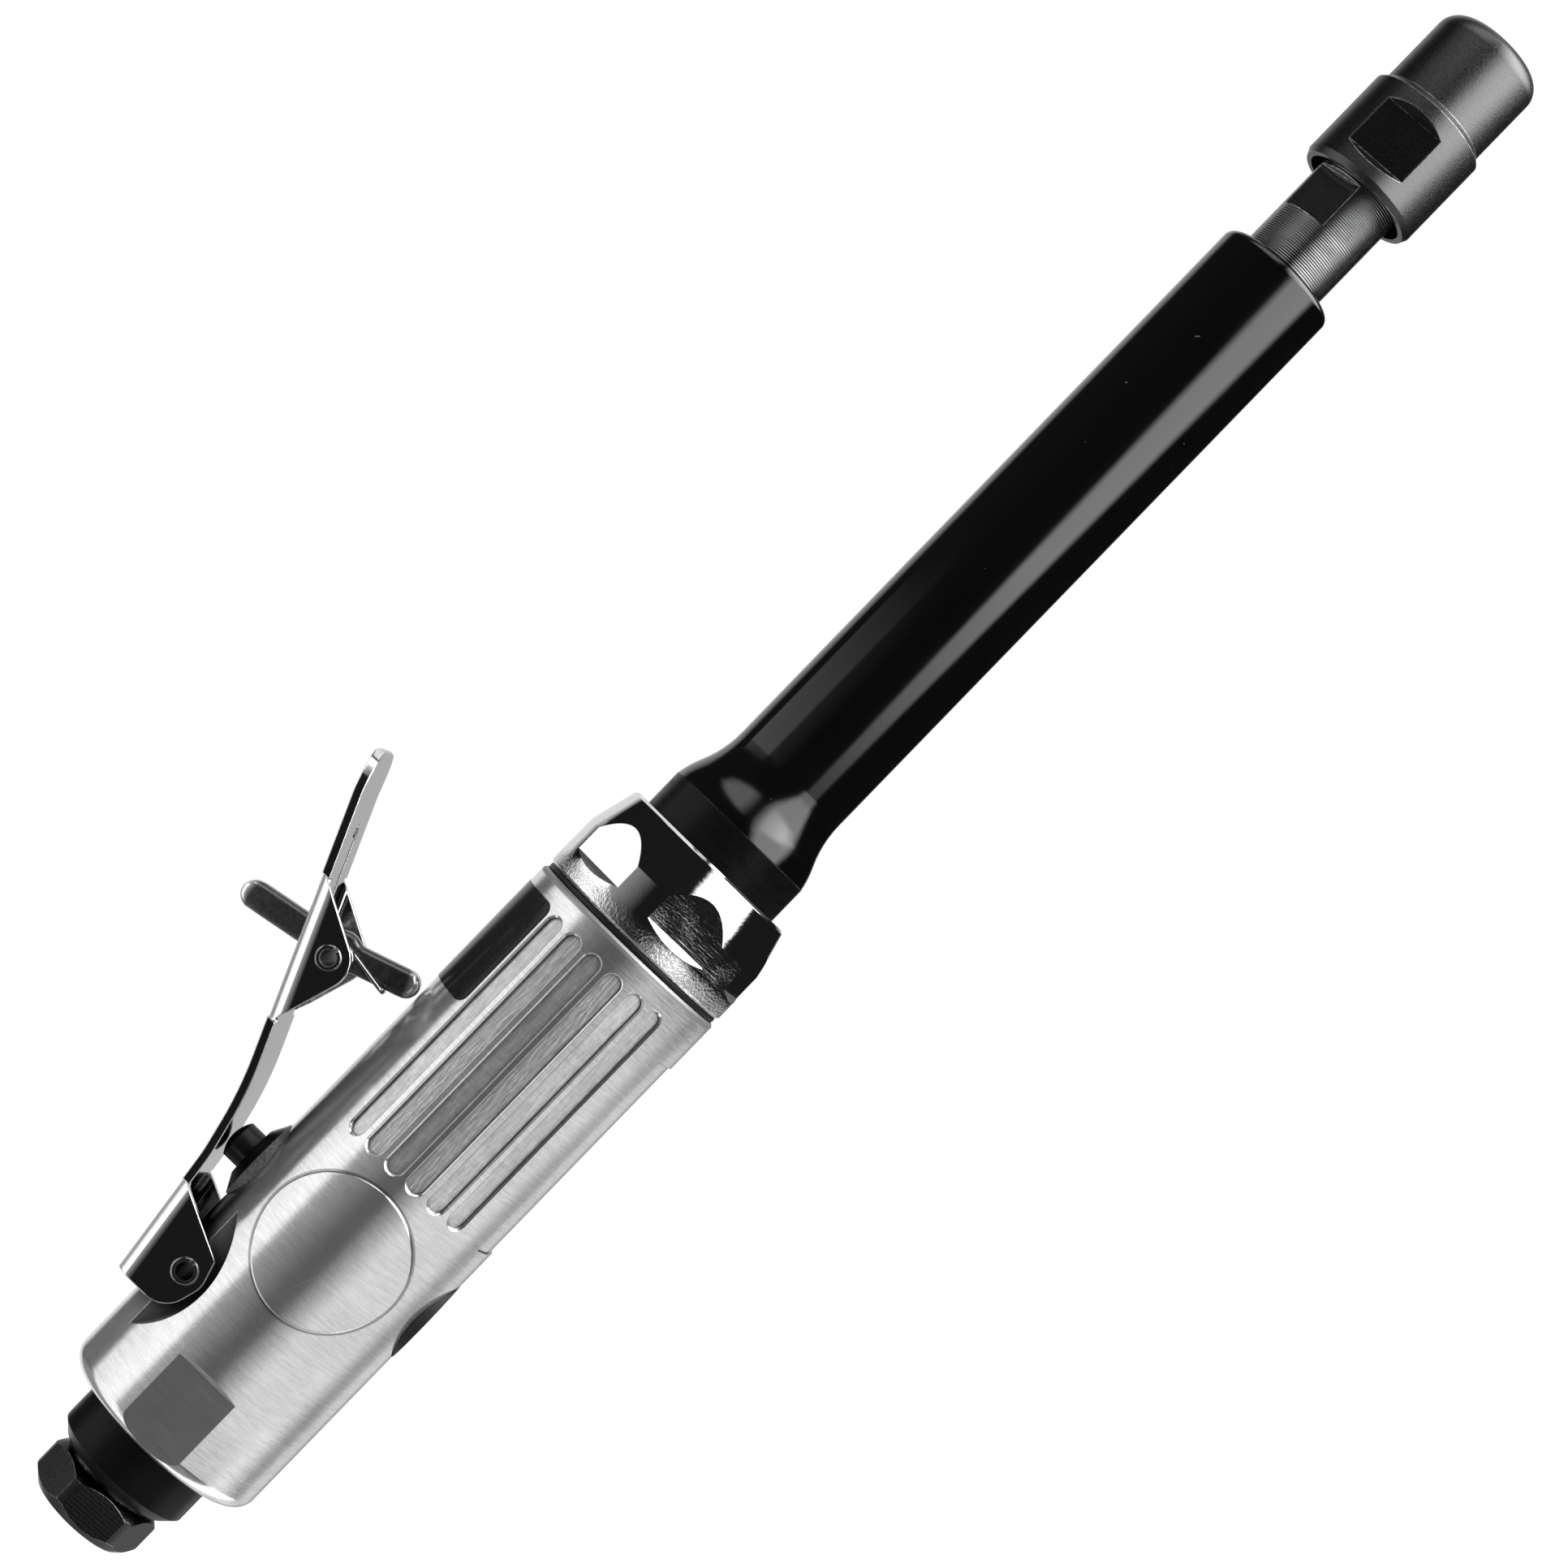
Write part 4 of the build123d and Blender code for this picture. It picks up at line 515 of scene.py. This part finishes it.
def plain_panel():
    """Glossy black film."""
    look = Look("plain_panel", specular_ior_level=0.15)
    wave = look.noise(0.4, detail=2.0)
    fine = look.noise(2.0)
    look.set("base_color", look.grey(look.vary(fine, 0.006, 0.010)))
    look.set("roughness", look.vary(wave, 0.10, 0.16))
    look.bump(wave, 0.02, 0.4)
    return look.material


def satin_black():
    """Satin black coat."""
    look = Look("satin_black", specular_ior_level=0.08)
    look.soften(0.2)
    grain = look.noise(4.0)
    smear = look.noise(0.5, stretch=(1.5, 0.5, 0.5))
    look.set("base_color", look.grey(look.vary(grain, 0.002, 0.004)))
    look.set("roughness", look.vary(smear, 0.24, 0.36))
    look.bump(grain, 0.008, 0.4)
    return look.material


def black_oxide(name, rough, shine, rim, lines, pitch):
    """Blackened steel with bright worn edges, and flats on the collet nut darkened by painted shade.

    It takes its roughness, its shine, the tint of that at a slant, and its turned lines' depth and pitch.
    """
    look = Look(name, metallic=1.0, specular_tint=(rim, rim, rim, 1))
    look.soften(0.18)
    x, y, z = look.axes()
    grain = look.noise(3.0, detail=4.0)
    rear, front = [NUT_REAR + place for place in NUT_FLATS]
    along = look.times(look.ramp(x, rear, rear + 0.2), look.ramp(x, front, front - 0.2))
    flat = look.times(look.ramp(look.radius(), NUT_R - 0.06, NUT_R - 0.15), along)
    # Painted shade: the collet nut's flats are darkened to 0.22 of the tone.
    dark = look.times(look.vary(grain, 0.9 * shine, 1.1 * shine), look.blend(flat, 1.0, 0.22))
    look.set("base_color", look.grey(look.math("MULTIPLY_ADD", look.worn(0.22), 0.28, dark)))
    look.set("roughness", look.vary(grain, rough - 0.06, rough + 0.06))
    look.bump(look.ripple(pitch), lines, 0.8)
    look.bump(grain, 0.032, 0.6)
    return look.material


def turned_spindle():
    """Blackened shaft with fine turned lines on its round and plain ground flats."""
    look = Look("turned_spindle", specular_ior_level=1.0, ior=1.6)
    look.soften(0.12)
    grain = look.noise(3.0, detail=4.0)
    on_round = look.ramp(look.radius(), SPINDLE_R - 0.12, SPINDLE_R - 0.04)
    uneven = look.vary(look.noise(0.8, detail=2.0, stretch=(1.0, 0.3, 0.3)), 0.7, 1.0)
    dark = look.vary(grain, 0.003, 0.008)
    look.set("base_color", look.grey(look.math("MULTIPLY_ADD", look.worn(0.2), 0.28, dark)))
    look.set("roughness", look.vary(grain, 0.14, 0.22))
    look.bump(look.times(look.ripple(0.37), on_round, uneven), 0.10)
    look.bump(grain, 0.008, 0.5)
    return look.material


def plain_metal(name, tone, rough):
    """Ground or drawn metal for the small and hidden pieces."""
    look = Look(name, metallic=1.0)
    grain = look.noise(2.0)
    look.mottle(grain, tone, 0.85)
    look.set("roughness", look.vary(grain, rough - 0.06, rough + 0.06))
    look.bump(grain, 0.01, 0.3)
    return look.material


def plain_soft(name, tone, rough):
    """Rubber, felt, laminate and plain plastic."""
    look = Look(name, specular_ior_level=0.25)
    grain = look.noise(3.0, detail=4.0)
    look.mottle(grain, tone, 0.7)
    look.set("roughness", look.vary(grain, rough - 0.08, rough + 0.08))
    look.bump(grain, 0.02, 0.4)
    return look.material


def dress():
    """Gives every node a finish of its own or that of its slot, and returns the finishes by slot."""
    finishes = {
        "housing": satin_aluminium(),
        "chrome": lever_chrome(),
        "dark_chrome": dark_chrome(),
        "black_oxide": black_oxide("black_oxide", rough=0.20, shine=0.046, rim=0.65, lines=0.004, pitch=0.6),
        "black_steel": black_oxide("black_steel", rough=0.34, shine=0.075, rim=1.0, lines=0.005, pitch=0.32),
        "satin_black": satin_black(),
        "grip": gloss_sleeve(),
        "black_plastic": plain_soft("black_plastic", (0.02, 0.02, 0.02), 0.5),
        "rubber": plain_soft("rubber", (0.006, 0.006, 0.006), 0.45),
        "felt": plain_soft("felt", (0.4, 0.38, 0.36), 0.9),
        "vane": plain_soft("vane", (0.18, 0.1, 0.05), 0.55),
        "steel": plain_metal("steel", (0.5, 0.5, 0.51), 0.3),
        "bearing_steel": plain_metal("bearing_steel", (0.7, 0.7, 0.71), 0.12),
        "spring_steel": plain_metal("spring_steel", (0.42, 0.42, 0.43), 0.22),
        "aluminium": plain_metal("aluminium", (0.7, 0.7, 0.7), 0.35),
        "brass": plain_metal("brass", (0.7, 0.55, 0.25), 0.3),
    }
    own = {pin: pin_steel(pin, bore_shade) for pin, bore_shade in BORE_SHADE_TONES.items()}
    own["clamp_nut"] = clamp_chrome()
    own["spindle"] = turned_spindle()
    own["valve_bushing"] = own["valve_stem"] = valve_black()
    for part in frame["record"]["subparts"]:
        mesh = NODES[part["node"]].data
        mesh.materials.clear()
        mesh.materials.append(own.get(part["node"], finishes[part["material_slot"]]))
    return finishes


def put(name, data):
    """Puts a new object in the scene."""
    made = bpy.data.objects.new(name, data)
    bpy.context.scene.collection.objects.link(made)
    return made


def finished(shape, name):
    """Turns a shape into a mesh."""
    mesh = bpy.data.meshes.new(name)
    shape.to_mesh(mesh)
    shape.free()
    return mesh


def add_piece(name, mesh, material, body):
    """Puts a new mesh on a body, smooth shaded but for its sharp edges."""
    mesh.materials.append(material)
    piece = put(name, mesh)
    for face in mesh.polygons:
        face.use_smooth = True
    mesh.set_sharp_from_angle(angle=math.radians(SHARP_ANGLE))
    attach(piece, body)
    return piece


def panel_rows():
    """Rows of the panel: an angle about the axis and how far the round corners draw the row in."""
    arc = math.radians(180 - 2 * PANEL_ANGLE) * HOUSING_R
    straight = arc - 2 * PANEL_ROUND
    turns = [math.radians(angle) for angle in range(0, 91, PANEL_CORNER_STEP)]
    corner = [PANEL_ROUND * (1 - math.cos(turn)) for turn in turns]
    middle = [PANEL_ROUND + straight * i / PANEL_ROWS for i in range(1, PANEL_ROWS)]
    rows = []
    for place in corner + middle + [arc - place for place in reversed(corner)]:
        near = min(place, arc - place, PANEL_ROUND)
        inset = PANEL_ROUND - math.sqrt(max(0.0, PANEL_ROUND**2 - (PANEL_ROUND - near) ** 2))
        rows.append((math.radians(PANEL_ANGLE) + place / HOUSING_R, inset))
    return rows


def border(rows):
    """Pairs of neighbouring corners round the edge of a grid of vertices."""
    ring = list(rows[0]) + [row[-1] for row in rows[1:]]
    ring += list(reversed(rows[-1][:-1])) + [row[0] for row in reversed(rows[1:-1])]
    return list(zip(ring, ring[1:] + ring[:1]))


def add_panel():
    """Plain film over the housing's top, from one side to the other."""
    shape = bmesh.new()
    skins = []
    for radius in (HOUSING_R + PANEL_THICKNESS, HOUSING_R - PANEL_SINK):
        rows = []
        for angle, inset in panel_rows():
            rear = PANEL_REAR + inset
            length = PANEL_FRONT - PANEL_REAR - 2 * inset
            y = -radius * math.cos(angle)
            z = radius * math.sin(angle)
            places = [rear + length * i / PANEL_STEPS for i in range(PANEL_STEPS + 1)]
            rows.append([shape.verts.new((x * MM, y * MM, z * MM)) for x in places])
        skins.append(rows)
    for rows in skins:
        for one, other in zip(rows, rows[1:]):
            for i in range(PANEL_STEPS):
                shape.faces.new((one[i], one[i + 1], other[i + 1], other[i]))
    for outer, inner in zip(border(skins[0]), border(skins[1])):
        shape.faces.new((outer[0], outer[1], inner[1], inner[0]))
    bmesh.ops.recalc_face_normals(shape, faces=shape.faces)
    add_piece("plain_panel", finished(shape, "plain_panel"), plain_panel(), "housing")


def bar_reach(bar, angle):
    """How far a round-ended bar reaches from the elbow in one direction."""
    length, width, lean = bar
    half = width / 2
    straight = length - half
    off = math.radians(angle - lean)
    along, across = math.cos(off), abs(math.sin(off))
    if along <= 0:
        return 0.0
    if half * along <= straight * across:
        return half / across
    return straight * along + math.sqrt(half**2 - (straight * across) ** 2)


def lock_outline():
    """Side outline of the lock lever about its pin, with soft corners where the bars leave the lobe."""
    points = []
    for i in range(LOCK_POINTS):
        angle = 360 * i / LOCK_POINTS
        reaches = (LOCK_LOBE_R, bar_reach(LOCK_TAB, angle), bar_reach(LOCK_FOOT, angle))
        reach = sum(r**LOCK_POWER for r in reaches) ** (1 / LOCK_POWER)
        turn = math.radians(angle)
        points.append((LOCK_ELBOW + reach * math.cos(turn), reach * math.sin(turn)))
    return points


def lock_hole():
    """Outline of the pin's hole in the lock lever."""
    turns = [2 * math.pi * i / LOCK_HOLE_POINTS for i in range(LOCK_HOLE_POINTS)]
    return [(LOCK_HOLE_R * math.cos(turn), LOCK_HOLE_R * math.sin(turn)) for turn in turns]


def add_lock_lever(material):
    """Tumbled lock lever with round edges and ball-shaped ends."""
    data = bpy.data.curves.new("lock_lever_bar", "CURVE")
    data.dimensions = "2D"
    data.fill_mode = "BOTH"
    data.extrude = (LOCK_THICKNESS / 2 - LOCK_EDGE) * MM
    data.bevel_depth = LOCK_EDGE * MM
    data.bevel_resolution = LOCK_EDGE_STEPS
    data.offset = -LOCK_EDGE * MM
    for outline in (lock_outline(), lock_hole()):
        spline = data.splines.new("POLY")
        spline.points.add(len(outline) - 1)
        for point, (ahead, above) in zip(spline.points, outline):
            point.co = (ahead * MM, above * MM, 0, 1)
        spline.use_cyclic_u = True
    drawn = put("lock_lever_outline", data)
    graph = bpy.context.evaluated_depsgraph_get()
    mesh = bpy.data.meshes.new_from_object(drawn.evaluated_get(graph))
    bpy.data.objects.remove(drawn)
    upright = Matrix.Rotation(math.radians(90), 4, "X")
    mesh.transform(Matrix.Translation((LOCK_X * MM, 0, LOCK_Z * MM)) @ upright)
    mesh.materials.clear()
    piece = add_piece("lock_lever_bar", mesh, material, "lock_lever")
    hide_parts("lock_lever")


def add_valve_spring(material):
    """Coil under the valve stem."""
    mesh = NODES["valve_spring"].data.copy()
    mesh.materials.clear()
    piece = add_piece("valve_spring_coil", mesh, material, "housing")
    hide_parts("valve_spring")
    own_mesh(piece)


def aim(obj, target, up):
    """Turns an object so that it looks at a point, with a chosen direction up."""
    back = (obj.location - target).normalized()
    right = up.cross(back).normalized()
    turn = Matrix((right, back.cross(right), back)).transposed()
    obj.rotation_euler = turn.to_euler()


def make_camera():
    """Camera square to the tool's axis, with its frame shifted to the photograph's middle."""
    data = bpy.data.cameras.new("photo_camera")
    data.lens = CAMERA_LENS
    data.sensor_width = SENSOR
    camera = put("photo_camera", data)
    camera.location = CAMERA_PLACE
    roll = math.radians(CAMERA_ROLL)
    up = Vector((math.sin(roll), 0, math.cos(roll)))
    right = Vector((math.cos(roll), 0, -math.sin(roll)))
    ahead = Vector((CAMERA_PLACE.x, 0, CAMERA_PLACE.z))
    aim(camera, ahead, up)
    aside = (FRAME_MIDDLE - ahead) * CAMERA_LENS / (SENSOR * (ahead - CAMERA_PLACE).length)
    data.shift_x = aside.dot(right)
    data.shift_y = aside.dot(up)
    bpy.context.scene.camera = camera


def looked_at(tree):
    """1 for rays from the camera, in reflections and through glass, and 0 for the light on the tool."""
    ray = tree.nodes.new("ShaderNodeLightPath")
    seen = ray.outputs["Is Camera Ray"]
    for name in ("Is Glossy Ray", "Is Transmission Ray"):
        either = tree.nodes.new("ShaderNodeMath")
        either.operation = "MAXIMUM"
        tree.links.new(seen, either.inputs[0])
        tree.links.new(ray.outputs[name], either.inputs[1])
        seen = either.outputs[0]
    return seen


def make_world():
    """White to the camera and to reflections, dimmer as a light."""
    world = bpy.data.worlds.new("studio")
    bpy.context.scene.world = world
    world.use_nodes = True
    tree = world.node_tree
    level = tree.nodes.new("ShaderNodeMapRange")
    tree.links.new(looked_at(tree), level.inputs[0])
    level.inputs["To Min"].default_value = WORLD_LIGHT
    level.inputs["To Max"].default_value = 1.0
    background = tree.nodes["Background"]
    background.inputs["Color"].default_value = (1, 1, 1, 1)
    tree.links.new(level.outputs[0], background.inputs["Strength"])


def make_floor():
    """Pale floor that stays white to the camera and keeps a faint shadow."""
    half = FLOOR_SIZE / 2
    places = [(-half, -half), (half, -half), (half, half), (-half, half)]
    mesh = bpy.data.meshes.new("floor")
    mesh.from_pydata([(x, y, -FLOOR_DROP) for x, y in places], [], [(0, 1, 2, 3)])
    floor = put("floor", mesh)
    look = Look("floor", base_color=(FLOOR_GREY, FLOOR_GREY, FLOOR_GREY, 1), roughness=0.9)
    mix = look.node("ShaderNodeMixShader")
    look.feed(mix.inputs[0], look.times(looked_at(look.tree), FLOOR_GLOW_SHARE))
    look.feed(mix.inputs[1], look.shader.outputs[0])
    look.feed(mix.inputs[2], look.glow(FLOOR_GLOW))
    look.show(mix.outputs[0])
    mesh.materials.append(look.material)


def away_from(look, angle, centre):
    """Degrees between an angle about the axis and a panel's centre, the shorter way round."""
    apart = look.math("ABSOLUTE", look.math("SUBTRACT", angle, centre))
    return look.math("SUBTRACT", 180.0, look.math("ABSOLUTE", look.math("SUBTRACT", 180.0, apart)))


def tent_light():
    """Dark cloth with bright panels, by the angle about the axis and the place along it."""
    look = Look("tent")
    x, y, z = look.axes()
    angle = look.math("DEGREES", look.math("ARCTAN2", z, look.times(y, -1.0)))
    light = TENT_DARK
    for level, soft, rear, front, start, stop in TENT_PANELS:
        centre = look.spread(x, rear[0], front[0], rear[1], front[1])
        half = look.spread(x, rear[0], front[0], rear[2], front[2])
        off = look.math("DIVIDE", away_from(look, angle, centre), half)
        panel = look.times(look.spread(off, 1 - soft, 1 + soft, level, 0.0), look.ramp(x, *start))
        light = look.math("MULTIPLY_ADD", panel, look.spread(x, *stop, 1.0, 0.0), light)
    look.show(look.glow(light))
    return look.material


def make_tent():
    """Studio tent round the tool, which only shows in its reflections."""
    shape = bmesh.new()
    turn = Matrix.Rotation(math.radians(90), 4, "Y")
    bmesh.ops.create_cone(
        shape,
        cap_ends=True,
        segments=TENT_SIDES,
        radius1=TENT_RADIUS,
        radius2=TENT_RADIUS,
        depth=TENT_LENGTH,
        matrix=Matrix.Translation((FRAME_MIDDLE.x, 0, 0)) @ turn,
    )
    mesh = finished(shape, "tent")
    mesh.materials.append(tent_light())
    tent = put("tent", mesh)
    for kind in ("camera", "diffuse", "transmission", "volume_scatter", "shadow"):
        setattr(tent, "visible_" + kind, False)


def make_lamp(name, angle, distance, size, power):
    """Soft lamp at an angle up from the camera's side, aimed at the tool's axis."""
    data = bpy.data.lights.new(name, "AREA")
    data.shape = "RECTANGLE"
    data.size, data.size_y = size
    data.energy = power
    lamp = put(name, data)
    turn = math.radians(angle)
    lamp.location = LAMP_AIM + Vector((0, -math.cos(turn), math.sin(turn))) * distance
    aim(lamp, LAMP_AIM, Vector((0, math.sin(turn), math.cos(turn))))
    lamp.visible_camera = False
    lamp.visible_glossy = False


bpy.context.scene.view_settings.view_transform = "Standard"
finishes = dress()
add_panel()
add_lock_lever(finishes["dark_chrome"])
add_valve_spring(finishes["spring_steel"])
make_camera()
make_world()
make_floor()
make_tent()
for lamp in LAMPS:
    make_lamp(*lamp)
